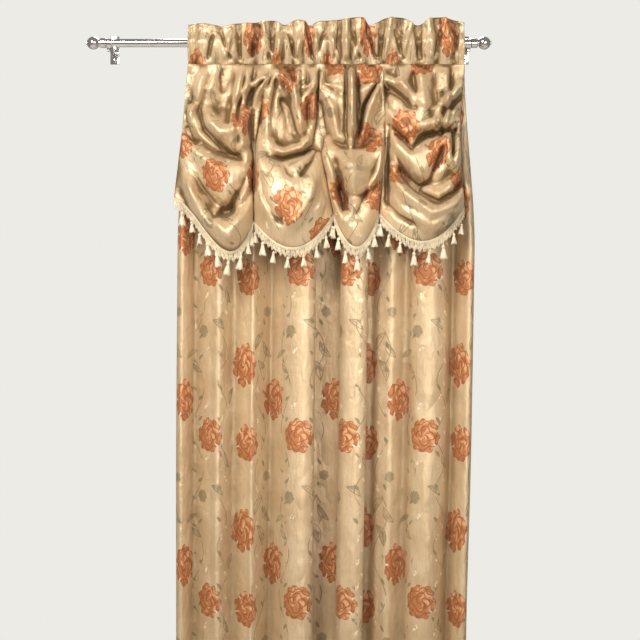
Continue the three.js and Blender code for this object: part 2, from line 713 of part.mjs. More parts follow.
function fringeGeometry() {
  const perSwag = swagShares.length - 1;
  const hangsAt = SWAGS.flatMap((_, swag) => {
    const edge = braidLow.slice(swag * perSwag, (swag + 1) * perSwag + 1);
    const count = Math.round(runningLength(edge)[perSwag] / TASSEL_PITCH - 2 * TASSEL_MARGIN + 1);
    const pitches = count - 1 + 2 * TASSEL_MARGIN;
    return evenly(edge, Array.from({ length: count }, (_unused, i) => (i + TASSEL_MARGIN) / pitches));
  });
  const tassels = hangsAt.flatMap(([x, y, z], i) => tasselPieces(x, y, z, TASSEL_TURN * i));
  return joined([braidGeometry(), ...tassels]);
}

function rodGeometry() {
  const length = BRACKET_SPAN + 2 * ROD_PAST_BRACKET;
  const rod = new THREE.CylinderGeometry(rodRadius, rodRadius, length, ROD_SIDES).rotateZ(Math.PI / 2);
  return rod.translate(-BRACKET_SPAN / 2, rodY, 0);
}

// A finial turned about the rod's axis: collar, neck, ball and tip, from the rod's end outwards.
// side is 1 at the rod's right end and -1 at its left.
function finialGeometry(side) {
  const ball = BALL_DIAMETER / 2;
  const neck = NECK_DIAMETER / 2;
  const collar = COLLAR_DIAMETER / 2;
  const tip = TIP_DIAMETER / 2;
  const firstAngle = Math.asin(neck / ball);
  const lastAngle = Math.PI - Math.asin(tip / ball);
  const centre = COLLAR_LENGTH + NECK_LENGTH + ball * Math.cos(firstAngle);
  const outline = [
    [0, 0],
    [collar - COLLAR_EDGE, 0],
    [collar, COLLAR_EDGE],
    [collar, COLLAR_LENGTH - COLLAR_EDGE],
    [collar - COLLAR_EDGE, COLLAR_LENGTH],
    [neck, COLLAR_LENGTH],
    ...steps(BALL_RINGS).map((t) => {
      const angle = firstAngle + (lastAngle - firstAngle) * t;
      return [ball * Math.sin(angle), centre - ball * Math.cos(angle)];
    }),
    [tip, centre + ball + TIP_LENGTH],
    [0, centre + ball + TIP_LENGTH],
  ].map(([radius, along]) => new THREE.Vector2(radius, along));
  const past = ROD_PAST_BRACKET + SEAT_GAP;
  const start = side > 0 ? past : -BRACKET_SPAN - past;
  const finial = new THREE.LatheGeometry(outline, FINIAL_SIDES).rotateZ((-side * Math.PI) / 2);
  return finial.translate(start, rodY, 0);
}

const cupInner = rodRadius + SEAT_GAP;
const cupOuter = cupInner + CUP_WALL;

// A wall bracket: its drilled plate, its arm and the half-round cup that the rod lies in.
function bracketGeometry(x) {
  const plate = new THREE.BoxGeometry(PLATE_WIDTH, PLATE_THICKNESS, PLATE_HEIGHT);
  plate.translate(0, -PLATE_THICKNESS / 2, 0);
  const reach = ROD_TO_WALL - cupInner - 1 - PLATE_THICKNESS / 2;
  const arm = new THREE.BoxGeometry(ARM_WIDTH, reach, ARM_HEIGHT);
  arm.translate(0, -PLATE_THICKNESS / 2 - reach / 2, -ARM_HEIGHT / 2);
  const outline = new THREE.Shape();
  outline.absarc(0, 0, cupOuter, Math.PI, 2 * Math.PI, false);
  outline.absarc(0, 0, cupInner, 2 * Math.PI, Math.PI, true);
  const cup = new THREE.ExtrudeGeometry(outline, { depth: CUP_WIDTH, bevelEnabled: false, curveSegments: 10 });
  cup.translate(0, 0, -CUP_WIDTH / 2).rotateX(Math.PI / 2).rotateZ(Math.PI / 2).translate(0, rodY, 0);
  const drill = (diameter, depth) => new THREE.CylinderGeometry(diameter / 2, diameter / 2, depth, SCREW_SIDES);
  const holes = [PLATE_HOLE_AT, -PLATE_HOLE_AT].map((z) => (
    drill(PLATE_HOLE, 3 * PLATE_THICKNESS).translate(0, 0, z)
  ));
  const screwHole = drill(SCREW_DIAMETER + 2 * SEAT_GAP, 3 * CUP_WALL).rotateX(Math.PI / 2);
  screwHole.translate(0, rodY, -(cupInner + CUP_WALL / 2));
  const whole = toSolid(plate).add(toSolid(arm)).add(toSolid(cup));
  const drilled = [...holes, screwHole].reduce((solid, hole) => solid.subtract(toSolid(hole)), whole);
  return toGeometry(drilled).translate(x, 0, 0);
}

// The thumb screw under a cup, which clamps the rod.
function clampScrewGeometry(x) {
  const shankTop = -(rodRadius + SEAT_GAP);
  const headTop = -(cupOuter + SEAT_GAP);
  const outline = [
    [0, headTop - SCREW_HEAD_LENGTH],
    [SCREW_HEAD_DIAMETER / 2, headTop - SCREW_HEAD_LENGTH],
    [SCREW_HEAD_DIAMETER / 2, headTop],
    [SCREW_DIAMETER / 2, headTop],
    [SCREW_DIAMETER / 2, shankTop],
    [0, shankTop],
  ].map(([radius, z]) => new THREE.Vector2(radius, z));
  return new THREE.LatheGeometry(outline, SCREW_SIDES).rotateX(Math.PI / 2).translate(x, rodY, 0);
}

function meshOf(name, geometry, finish) {
  const mesh = new THREE.Mesh(geometry, new THREE.MeshStandardMaterial({ ...finish, side: THREE.FrontSide }));
  mesh.name = name;
  return mesh;
}

const part = new THREE.Group();
part.add(meshOf('panel', panelGeometry(), SATIN));
part.add(meshOf('valance', valanceGeometry(), SATIN));
part.add(meshOf('fringe', fringeGeometry(), LACE));
part.add(meshOf('rod', rodGeometry(), NICKEL));
[['right', 0, 1], ['left', -BRACKET_SPAN, -1]].forEach(([end, x, side]) => {
  part.add(meshOf(`finial_${end}`, finialGeometry(side), NICKEL));
  part.add(meshOf(`bracket_${end}`, bracketGeometry(x), NICKEL));
  part.add(meshOf(`clamp_screw_${end}`, clampScrewGeometry(x), NICKEL));
});

export default part;
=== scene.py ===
import math

import bmesh
import bpy
import numpy as np
from mathutils import Matrix, Vector


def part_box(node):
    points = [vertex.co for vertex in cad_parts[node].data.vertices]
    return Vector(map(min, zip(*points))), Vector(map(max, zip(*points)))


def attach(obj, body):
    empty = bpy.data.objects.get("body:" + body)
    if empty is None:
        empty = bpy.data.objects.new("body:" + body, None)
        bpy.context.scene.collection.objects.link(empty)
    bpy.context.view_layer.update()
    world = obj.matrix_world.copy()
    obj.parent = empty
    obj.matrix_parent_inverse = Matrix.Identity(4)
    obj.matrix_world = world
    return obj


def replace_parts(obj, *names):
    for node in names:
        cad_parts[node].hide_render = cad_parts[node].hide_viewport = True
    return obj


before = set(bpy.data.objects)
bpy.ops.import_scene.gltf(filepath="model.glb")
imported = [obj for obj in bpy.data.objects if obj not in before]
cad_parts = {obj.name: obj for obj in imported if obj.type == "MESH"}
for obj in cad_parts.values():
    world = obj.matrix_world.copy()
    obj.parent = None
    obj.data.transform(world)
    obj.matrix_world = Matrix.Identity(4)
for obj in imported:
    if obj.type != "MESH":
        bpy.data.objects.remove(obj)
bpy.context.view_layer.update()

bl_info = {
    "name": "Gathered curtain with a tied-up valance",
    "version": (1, 0, 0),
    "blender": (4, 5, 0),
    "location": "3D View > Sidebar > Curtain",
    "description": "Dresses the curtain panel, its valance, its fringe and its rod",
    "category": "Object",
}

MM = 0.001
FULL_TURN = 2 * math.pi


def table(columns, rows):
    """A table's rows, each value under the name of its column."""
    return [dict(zip(columns.split(), row)) for row in rows]


# Cloth is worked out in millimetres: x to the right, y into the wall, z up, from the wall at rod height.
ROD_Y = -85
ROD_RADIUS = 8
BRACKET_SPAN = 700
PANEL_HEM = -2097
POCKET_SEAM = -40
OPENED_BY = -400
HEADING_PLEATS = 18
HEADING_PLEAT_DEPTH = 7
SHIRRING = 13
RUFFLE_TOP = 40
LAYERS_APART = 1.2
CLEAR_OF_ROD = 0.8
HEADING_UNEVEN = {"size": 0.2, "place": 0.5}
GATHERED_BY = 1.6
GATHERS_LEAN = {"by": 0.32, "turn": 2.4}
GATHER_ENDS = {"top": 8, "above_seam": 3, "bottom": 12}
PANEL_COLUMNS = 300
PANEL_ROWS = {"hanging": 48, "gathering": 46, "heading": 26}
GATHERING_FROM = -460
LEFT_FOLDS = 20

VALANCE_TOP = -43
SWAG_COUNT = 4
SWAG_COLUMNS = 72
SWAG_SAMPLES = 200
VALANCE_ROWS = 120
VALANCE_PLEATS_PER_SWAG = 3
VALANCE_PLEAT_DEPTH = 7
SEAMED_APART = 1.3
STANDS_OFF = 4
CREASES_FROM = 0.08
SEAM_EVENS_OUT = 0.12
CLEAR_BY = 0.15
SEAM_PLEATS_FADE = 0.25
GATHERS_FROM = 0.06
HANG_POWER = 2
BULGE_POWER = 2.3
FLATTEN_ROUNDS = 300
FLATTEN_STEP = 4

# The heading and pocket: half is half the pocket's depth at a height, and ripple the gathers' share there.
HEADING = table("z ripple half", [
    (40, 0.8, 0), (24, 0.7, 0), (13, 0.6, 5), (5, 0.65, 12), (-5, 0.7, 12), (-20, 0.8, 8),
    (-40, 0.8, 1.4), (-75, 0.9, 0), (-130, 0.8, 0), (-200, 0.5, 0), (-290, 0.2, 0), (-400, 0, 0),
])

# The ruffle's uneven top edge: where, and how high.
RUFFLE_EDGE = table("x z", [
    (-546, 34), (-521, 38), (-501, 36), (-474, 32), (-458, 37), (-415, 39), (-378, 43), (-357, 35),
    (-337, 44), (-318, 43), (-309, 33), (-294, 41), (-259, 44), (-205, 49), (-193, 34), (-177, 40),
    (-162, 47), (-127, 48), (-98, 34), (-72, 48), (-45, 48), (-25, 43), (-8, 39),
])

# Single gathers of the heading: where, half-width, how far each stands out, and its upper end.
HEADING_GATHERS = table("x wide out top", [
    (-533, 5, 4, 44), (-498, 5, -5, 20), (-479, 4, -7, 44), (-463, 5, 6, 30), (-446, 4, -5, 44),
    (-432, 5, 5, 20), (-411, 5, -7, 36), (-394, 4, 7, 44), (-381, 5, -5, 44), (-366, 5, 6, 20),
    (-349, 4, -7, 44), (-324, 6, 5, 44), (-311, 4, -8, 44), (-297, 4, 5, 30), (-284, 4, -5, 25),
    (-268, 4, 4, 20), (-253, 4, -4, 28), (-237, 5, 6, 44), (-222, 4, -5, 22), (-208, 6, 6, 50),
    (-192, 4, -8, 44), (-171, 5, -5, 30), (-156, 5, 6, 48), (-140, 4, -6, 24), (-118, 5, 5, 48),
    (-99, 5, -8, 44), (-74, 7, 6, 50), (-56, 4, -5, 24), (-38, 5, 5, 48), (-22, 4, -5, 40),
])

# The panel's hanging folds along a level line: x across, and how far the cloth lies behind the rod's line.
FOLDS = table("x back", [
    (-570, 6), (-561, -8), (-552, -2), (-534, 22), (-503, -6), (-486, -20), (-458, 12), (-429, -10),
    (-420, -18), (-388, 26), (-372, 16), (-346, -22), (-322, -30), (-304, -22), (-300, -10), (-334, 12),
    (-336, 30), (-312, 44), (-285, 44), (-259, 36), (-247, 20), (-251, -6), (-243, -26), (-230, -33),
    (-212, -34), (-199, -24), (-209, -2), (-204, 20), (-185, 26), (-168, 8), (-150, -4), (-125, 14),
    (-116, 12), (-104, -14), (-84, -24), (-66, -22), (-48, -8), (-30, 16), (-14, -8), (-4, -22), (4, -20),
    (9, -4),
])
FOLD_SAMPLES = 1200

# How far the panel's folds reach into the room behind the valance, below the rod.
PANEL_REACH = table("below out", [(43, 7.1), (75, 9.2), (130, 14), (200, 22), (290, 33), (400, 41)])

# The panel's side edges below the valance lean a little: the shift of each edge at a height.
LEAN = table("z left right", [
    (-400, 3, 3), (-800, 0, -4), (-1200, 0, -14), (-2097, -4, -12),
])

# The lines where the valance is tied up, and its free sides: x at the seam, half way down and at the hem,
# and the hem's height there.
TIES = table("top middle low hem", [
    (-546, -556, -570, -304), (-386, -413, -417, -349), (-289, -290, -263, -336),
    (-168, -163, -176, -334), (-8, -18, -12, -322),
])

# Each swag down its middle: the height, how far it stands out from its tie lines, and how far across
# (0 left, 1 right) the fold hangs lowest.
SWAGS = [
    table("z out across", [
        (-43, 0, 0.5), (-95, 14, 0.5), (-132, 8, 0.42), (-170, 44, 0.5), (-212, 40, 0.6),
        (-222, 22, 0.62), (-262, 50, 0.66), (-306, 44, 0.68), (-326, 26, 0.68), (-352, 52, 0.68),
        (-382, 50, 0.68), (-400, 30, 0.68),
    ]),
    table("z out across", [
        (-43, 0, 0.5), (-100, 8, 0.5), (-160, 2, 0.52), (-204, 8, 0.54), (-222, 30, 0.54),
        (-250, 60, 0.52), (-300, 72, 0.5), (-350, 64, 0.5), (-384, 46, 0.52), (-402, 38, 0.52),
    ]),
    table("z out across", [
        (-43, 0, 0.5), (-105, 20, 0.5), (-170, 16, 0.5), (-206, 10, 0.5), (-222, 36, 0.5),
        (-256, 60, 0.52), (-292, 48, 0.54), (-308, 26, 0.5), (-342, 46, 0.46), (-378, 40, 0.5),
        (-400, 30, 0.5),
    ]),
    table("z out across", [
        (-43, 0, 0.5), (-105, 16, 0.5), (-152, 34, 0.5), (-180, 20, 0.5), (-216, 48, 0.46),
        (-264, 46, 0.48), (-284, 26, 0.54), (-312, 50, 0.58), (-350, 56, 0.54), (-390, 40, 0.52),
    ]),
]

# Single gathers in the valance: where each is (share of the cloth's width), its half-width, how far it
# stands out, and how far down it runs (share of the valance).
GATHERS = table("at wide out run", [
    (0.115, 0.02, -8, 0.3), (0.17, 0.02, 9, 0.3), (0.31, 0.018, 12, 0.4), (0.39, 0.018, 17, 0.45),
    (0.46, 0.018, 10, 0.4), (0.57, 0.018, 8, 0.4), (0.625, 0.02, 20, 0.45), (0.7, 0.018, 8, 0.4),
    (0.81, 0.018, 8, 0.35), (0.86, 0.018, 14, 0.4), (0.93, 0.02, 12, 0.35),
])

# The creases and rolls laid into the swags: how far each stands out (a roll) or lies back (a crease),
# its half-width, and its run as places (x, z) seen from the room.
CREASES = table("out wide path", [
    (-15, 10, [(-527, -122), (-510, -173), (-476, -211), (-429, -240)]),
    (11, 13, [(-520, -118), (-503, -156), (-480, -183), (-448, -177), (-383, -63)]),
    (6, 13, [(-546, -173), (-520, -219), (-474, -253), (-436, -232), (-419, -189)]),
    (-11, 8, [(-548, -162), (-537, -189), (-522, -206)]),
    (11, 13, [(-550, -228), (-531, -299), (-464, -380), (-448, -350), (-419, -232)]),
    (-15, 13, [(-516, -304), (-490, -344), (-461, -329), (-438, -287), (-425, -249)]),
    (-14, 9, [(-418, -96), (-421, -173), (-417, -232), (-414, -308)]),
    (-5, 10, [(-480, -41), (-478, -105)]),
    (13, 9, [(-381, -50), (-347, -84), (-335, -113), (-329, -156), (-328, -189)]),
    (-12, 9, [(-370, -105), (-347, -147), (-333, -189)]),
    (10, 9, [(-389, -75), (-393, -126), (-389, -189), (-372, -213)]),
    (11, 9, [(-290, -82), (-309, -94), (-321, -134), (-326, -189)]),
    (-15, 8, [(-387, -228), (-361, -232), (-320, -220), (-300, -203), (-293, -147)]),
    (11, 9, [(-389, -206), (-359, -217), (-326, -206), (-307, -185), (-298, -113)]),
    (7, 11, [(-408, -173), (-410, -232), (-404, -299), (-372, -359)]),
    (-9, 8, [(-290, -198), (-305, -236), (-330, -274)]),
    (-11, 8, [(-292, -105), (-285, -173), (-288, -223)]),
    (9, 9, [(-285, -206), (-269, -257), (-262, -316)]),
    (-9, 8, [(-262, -223), (-247, -274), (-245, -342)]),
    (16, 10, [(-230, -46), (-228, -75), (-226, -173), (-226, -194)]),
    (-9, 8, [(-217, -46), (-215, -173), (-222, -202)]),
    (11, 9, [(-288, -79), (-266, -134), (-256, -185), (-233, -200)]),
    (13, 11, [(-171, -67), (-184, -105), (-203, -151), (-218, -206)]),
    (10, 28, [(-228, -211), (-226, -257)]),
    (-9, 10, [(-281, -205), (-256, -262), (-240, -318), (-228, -352)]),
    (-9, 9, [(-172, -215), (-188, -262), (-206, -306), (-226, -350)]),
    (8, 16, [(-232, -228), (-229, -292), (-222, -336)]),
    (11, 10, [(-241, -350), (-207, -308), (-178, -257), (-165, -189)]),
    (-13, 8, [(-156, -164), (-159, -240), (-161, -325)]),
    (11, 9, [(-167, -67), (-135, -84), (-108, -109), (-106, -134)]), (11, 12, [(-87, -46), (-85, -139)]),
    (-8, 9, [(-108, -46), (-104, -147)]), (-7, 9, [(-67, -46), (-64, -139)]),
    (11, 11, [(-161, -139), (-127, -177), (-87, -168), (-55, -160), (-13, -160)]),
    (-11, 8, [(-152, -164), (-114, -211), (-86, -185), (-51, -177), (-15, -173)]),
    (12, 9, [(-8, -78), (-34, -105), (-58, -129)]),
    (-9, 9, [(-154, -205), (-128, -252), (-100, -284), (-80, -272), (-56, -222), (-46, -190)]),
    (12, 9, [(-46, -173), (-43, -232), (-30, -249), (-19, -189)]),
    (13, 12, [(-162, -240), (-127, -299), (-78, -337), (-34, -321), (-8, -285)]),
    (-15, 10, [(-152, -232), (-101, -295), (-63, -316), (-30, -295), (-10, -257)]),
    (6, 5, [(-387, -67), (-410, -105), (-421, -139)]), (-6, 5, [(-395, -73), (-423, -109), (-431, -130)]),
    (5, 6, [(-410, -77), (-436, -99), (-457, -118)]), (-8, 6, [(-240, -20), (-238, -147)]),
    (-14, 5, [(-175, -75), (-203, -126), (-214, -189)]),
    (-9, 7, [(-161, -92), (-131, -109), (-114, -134)]), (7, 8, [(-133, -37), (-133, -92)]),
    (7, 10, [(-51, -46), (-55, -105)]), (-9, 6, [(-8, -99), (-30, -122), (-55, -143)]),
    (-8, 5, [(-32, -177), (-36, -228)]), (6, 9, [(-127, -333), (-78, -363), (-34, -342)]),
    (-6, 8, [(-404, -250), (-398, -300), (-378, -342), (-352, -366)]),
    (6, 9, [(-296, -262), (-306, -306), (-330, -346), (-362, -376)]),
    (-5, 7, [(-360, -240), (-350, -262), (-336, -272)]),
    (5, 8, [(-545, -262), (-524, -330), (-492, -374)]),
    (-6, 7, [(-560, -286), (-540, -330), (-516, -362)]),
    (-6, 7, [(-170, -300), (-140, -340), (-104, -362)]),
])
CREASE_END = {"depth": 0.25, "run": 0.18}
CREASED_BY = {"rolls": 1.75, "creases": 2.2}

# Where the woven pattern lies on each swag: one flower of the repeat (its row in FLOWERS), where its middle
# shows in the photo, and how far the cloth is turned there, in degrees.
SWAG_PATTERN = table("flower x z turn", [
    (3, -433, -152, -12), (0, -347, -325, 0), (2, -195, -56, 0), (3, -127, -170, 10),
])

# Where the valance is tied up, seen from the room, and how far its narrow pleats fan out from there.
TIED_AT = table("x z reach start", [
    (-382, -64, 62, 0.4), (-289, -80, 52, 1.7), (-170, -72, 62, 2.9), (-20, -154, 52, 0.9),
])
FANNED_PLEATS = {"count": 9, "depth": 6, "sets_in": 24, "uneven": 1.2, "down_from": 0.3, "down_by": 1.1}
# The narrow pleats below the seam: how many over the width, how deep, and how far down they run.
NARROW_PLEATS = {"count": 21, "depth": 8.5, "run": 0.55, "uneven": 1.6, "starts": 0.03, "fades": 0.2}

# How strongly shade is painted into the creases of each part.
SHADE_PAINTED_IN_CREASES = {"heading": 1.5, "folds": 0.22, "swags": 1.0}

# The woven repeat, and where a dark-centred flower's column and row meet on the panel.
REPEAT = (256, 322)
PANEL_FLOWER = {"x": -552, "z": -696}


def ease(t):
    s = np.clip(t, 0, 1)
    return s * s * (3 - 2 * s)


def curve_through(keys, values):
    """A smooth curve through named columns of a table, read at places in the key column."""
    keys = np.asarray(keys, float)
    values = np.asarray(values, float)
    last = len(keys) - 1
    before = np.maximum(np.arange(last + 1) - 1, 0)
    after = np.minimum(np.arange(last + 1) + 1, last)
    slopes = (values[after] - values[before]) / (keys[after] - keys[before])

    def at(place):
        place = np.asarray(place, float)
        i = np.clip(np.searchsorted(keys, place, side="left") - 1, 0, last - 1)
        step = keys[i + 1] - keys[i]
        t = np.clip((place - keys[i]) / step, 0, 1)
        t2, t3 = t * t, t * t * t
        return (
            (2 * t3 - 3 * t2 + 1) * values[i]
            + (t3 - 2 * t2 + t) * step * slopes[i]
            + (3 * t2 - 2 * t3) * values[i + 1]
            + (t3 - t2) * step * slopes[i + 1]
        )

    return at


def column(table, name):
    return [row[name] for row in table]


def running_length(points):
    steps = np.linalg.norm(np.diff(np.asarray(points, float), axis=0), axis=1)
    return np.concatenate([[0], np.cumsum(steps)])


def evenly(points, shares):
    """Places along a curve of samples at shares of its length."""
    lengths = running_length(points)
    return np.stack([np.interp(shares * lengths[-1], lengths, p) for p in points.T], axis=1)


gather_x = curve_through(np.arange(SWAG_COUNT + 1) / SWAG_COUNT, column(TIES, "top"))
panel_reach = curve_through(column(PANEL_REACH, "below"), column(PANEL_REACH, "out"))


def swell(waves, start, c):
    return np.sin(FULL_TURN * waves * c + start)


def heading_wave(c):
    """The heading's uneven gathers, -1 to the wall and 1 to the room."""
    size = 1 - HEADING_UNEVEN["size"] * (1 - swell(5.3, 2, c))
    return size * np.cos(FULL_TURN * HEADING_PLEATS * c + HEADING_UNEVEN["place"] * swell(3.1, 1, c))


def fold_line(shares):
    """The hanging folds at shares of the cloth's width, and the cloth's length up to each."""
    corners = np.array([(fold["x"], fold["back"]) for fold in FOLDS], float)
    keys = running_length(corners)
    along = np.linspace(0, keys[-1], FOLD_SAMPLES)
    line = np.stack([curve_through(keys, corners[:, k])(along) for k in (0, 1)], axis=1)
    return evenly(line, shares), shares * running_length(line)[-1]


def single_gathers(x, z):
    """How far the heading's single gathers stand out at a place."""
    out = 0
    for i, gather in enumerate(HEADING_GATHERS):
        lean = GATHERS_LEAN["by"] * math.sin(GATHERS_LEAN["turn"] * i) * (z - SHIRRING)
        near = np.exp(-(((x - gather["x"] - lean) / gather["wide"]) ** 2))
        upper = ease((gather["top"] - z) / GATHER_ENDS["top"])
        lower = ease((z - POCKET_SEAM - GATHER_ENDS["above_seam"]) / GATHER_ENDS["bottom"])
        out = out + gather["out"] * near * (upper * lower)
    return GATHERED_BY * out


def panel_row(z, side, shares, folds):
    """The panel's cloth along one row, on the wall's side (1), the room's side (-1) or both (0)."""
    keys = [-row["z"] for row in HEADING]
    half = float(curve_through(keys, column(HEADING, "half"))(-z))
    ripple = float(curve_through(keys, column(HEADING, "ripple"))(-z)) if z > OPENED_BY else 0
    opened = float(ease((POCKET_SEAM - z) / (POCKET_SEAM - OPENED_BY)))
    below = [-row["z"] for row in LEAN]
    left, right = [curve_through(below, column(LEAN, edge))(-z) for edge in ("left", "right")]
    shift = left * (1 - shares) + right * shares
    x = gather_x(shares) * (1 - opened) + (folds[:, 0] + shift) * opened
    wave = heading_wave(shares)
    depth = HEADING_PLEAT_DEPTH
    gathered = depth * wave if side == 0 else -side * depth * (0.5 - 0.5 * side * wave)
    single = single_gathers(x, z) * (side <= 0)
    y = ROD_Y + side * (half + LAYERS_APART / 2) - gathered * ripple + folds[:, 1] * opened - single
    if side != 0:
        off_rod = math.sqrt(max(0, (ROD_RADIUS + CLEAR_OF_ROD) ** 2 - z * z))
        y = np.minimum(y, ROD_Y - off_rod) if side < 0 else np.maximum(y, ROD_Y + off_rod)
    return np.stack([x, y, np.full_like(x, z)], axis=1)


def panel_surface():
    """The panel from hem to ruffle and down the back of its pocket, with its flat place."""
    shares = np.linspace(0, 1, PANEL_COLUMNS + 1)
    folds, across = fold_line(shares)
    hanging = np.linspace(PANEL_HEM, GATHERING_FROM, PANEL_ROWS["hanging"])[:-1]
    gathering = np.linspace(GATHERING_FROM, POCKET_SEAM, PANEL_ROWS["gathering"])[:-1]
    heading = np.linspace(POCKET_SEAM, RUFFLE_TOP, PANEL_ROWS["heading"])
    levels = np.concatenate([hanging, gathering, heading])
    front = [panel_row(z, 0 if z < POCKET_SEAM else -1, shares, folds) for z in levels]
    back = [panel_row(z, 1, shares, folds) for z in heading[::-1][1:]]
    edge = curve_through(column(RUFFLE_EDGE, "x"), column(RUFFLE_EDGE, "z"))
    for row in front + back:
        above = np.clip((row[:, 2] - SHIRRING) / (RUFFLE_TOP - SHIRRING), 0, 1)
        row[:, 2] += above * (edge(row[:, 0]) - RUFFLE_TOP)
    points = np.array(front + back)
    down = running_length([row[:, 1:].mean(axis=0) for row in points])
    flower = np.interp(PANEL_FLOWER["x"], folds[:LEFT_FOLDS, 0], across[:LEFT_FOLDS])
    flat = np.stack(np.broadcast_arrays(across[None, :] - flower, down[:, None]), axis=2)
    flower_row = np.interp(PANEL_FLOWER["z"], points[: len(front), 0, 2], down[: len(front)])
    flat[:, :, 1] -= flower_row
    return points, flat


def tie_at(i, v):
    tie = TIES[i]
    across = float(curve_through([0, 0.5, 1], [tie["top"], tie["middle"], tie["low"]])(v))
    z = VALANCE_TOP + (tie["hem"] - VALANCE_TOP) * v
    clear = SEAMED_APART + (STANDS_OFF - SEAMED_APART) * float(ease(v / CLEAR_BY))
    return np.array([across, ROD_Y - float(panel_reach(-z)) - clear, z])


def swag_profile(rows):
    keys = running_length([(row["z"], row["out"]) for row in rows])
    curves = [curve_through(keys, column(rows, name)) for name in ("z", "out", "across")]
    return lambda v: [float(curve(v * keys[-1])) for curve in curves]


def valance_gathers(c, v):
    """How far single gathers and the seam's pleats stand out at a place of the valance."""
    pleats = 0.5 + 0.5 * np.cos(FULL_TURN * SWAG_COUNT * VALANCE_PLEATS_PER_SWAG * c)
    out = VALANCE_PLEAT_DEPTH * pleats * ease(1 - v / SEAM_PLEATS_FADE)
    for gather in GATHERS:
        near = np.exp(-(((c - gather["at"]) / gather["wide"]) ** 2))
        fade = ease(v / GATHERS_FROM) * ease((gather["run"] - v) / (0.5 * gather["run"]))
        out = out + gather["out"] * near * fade
    return out


def narrow_pleats(c, x, z, v):
    """The narrow, uneven pleats below the seam and those that fan out from the ties."""
    row = NARROW_PLEATS
    place = FULL_TURN * row["count"] * c + row["uneven"] * (swell(4.3, 1, c) + swell(9.1, 2 + 3 * v, c))
    size = 0.65 + 0.35 * swell(6.7, 0.5, c)
    out = row["depth"] * size * np.cos(place) * ease(v / row["starts"])
    out = out * ease((row["run"] * size - v) / row["fades"])
    fan = FANNED_PLEATS
    for tie in TIED_AT:
        away = np.hypot(x - tie["x"], z - tie["z"])
        angle = np.arctan2(z - tie["z"], x - tie["x"])
        wave = np.cos(fan["count"] * angle + tie["start"] + fan["uneven"] * np.sin(3 * angle + tie["start"]))
        downwards = ease(fan["down_from"] - fan["down_by"] * np.sin(angle))
        near = ease(away / fan["sets_in"]) * np.exp(-((away / tie["reach"]) ** 2))
        out = out + fan["depth"] * wave * near * downwards
    return out


def creased_out(x, z):
    """How far the creases and rolls move the cloth towards the room at a place."""
    out = np.zeros_like(x)
    for crease in CREASES:
        path = np.array(crease["path"], float)
        lengths = running_length(path)
        away = np.full_like(x, np.inf)
        share = np.zeros_like(x)
        for i, (start, step) in enumerate(zip(path[:-1], np.diff(path, axis=0))):
            t = np.clip(((x - start[0]) * step[0] + (z - start[1]) * step[1]) / (step @ step), 0, 1)
            off = np.hypot(x - start[0] - t * step[0], z - start[1] - t * step[1])
            nearer = off < away
            away = np.where(nearer, off, away)
            share = np.where(nearer, (lengths[i] + t * (lengths[i + 1] - lengths[i])) / lengths[-1], share)
        from_end = ease(np.minimum(share, 1 - share) / CREASE_END["run"])
        depth = CREASE_END["depth"] + (1 - CREASE_END["depth"]) * from_end
        off = away / crease["wide"]
        soft = np.exp(-(off**2))
        if crease["out"] > 0:
            out += CREASED_BY["rolls"] * crease["out"] * depth * soft
        else:
            out += CREASED_BY["creases"] * crease["out"] * depth * (0.5 * soft + 0.5 * np.exp(-1.6 * off))
    return out


def swag_row(i, v, shares, profile):
    """One swag's cloth along one row, from one tie line to the next."""
    left, right = tie_at(i, v), tie_at(i + 1, v)
    lowest, out, across = profile(v)
    level = float(ease(v / SEAM_EVENS_OUT))
    q = np.linspace(0, 1, SWAG_SAMPLES + 1)
    s = np.abs(2 * q ** (math.log(0.5) / math.log(across)) - 1)
    hang = 1 - s**HANG_POWER
    bulge = np.sqrt(np.clip(1 - s**BULGE_POWER, 0, 1))
    straight = left + (right - left) * q[:, None]
    x = gather_x((i + q) / SWAG_COUNT) * (1 - level) + straight[:, 0] * level
    y = straight[:, 1] - out * bulge
    z = straight[:, 2] + (lowest - (left[2] + right[2]) / 2) * hang
    return evenly(np.stack([x, y, z], axis=1), shares)


def valance_surface():
    """The valance's swags side by side: each one's rows of points, from the seam to the hem."""
    shares = np.linspace(0, 1, SWAG_COLUMNS + 1)
    swags = []
    for i, rows in enumerate(SWAGS):
        profile = swag_profile(rows)
        levels = np.linspace(0, 1, VALANCE_ROWS + 1)
        points = np.array([swag_row(i, v, shares, profile) for v in levels])
        c = (i + shares)[None, :] / SWAG_COUNT
        v = levels[:, None]
        x, z = points[:, :, 0], points[:, :, 2]
        laid = ease(v / CREASES_FROM) * (creased_out(x, z) + narrow_pleats(c, x, z, v))
        points[:, :, 1] -= valance_gathers(c, v) + laid
        points[:, :, 1] = np.minimum(points[:, :, 1], ROD_Y - panel_reach(-z) - SEAMED_APART)
        swags.append(points)
    return swags


def spread(values, count, axis):
    """A grid's values along one axis, read at so many even places between its points."""

    def along(line):
        places = np.arange(len(line))
        return np.interp(np.linspace(0, places[-1], count), places, line)

    return np.apply_along_axis(along, axis, values)


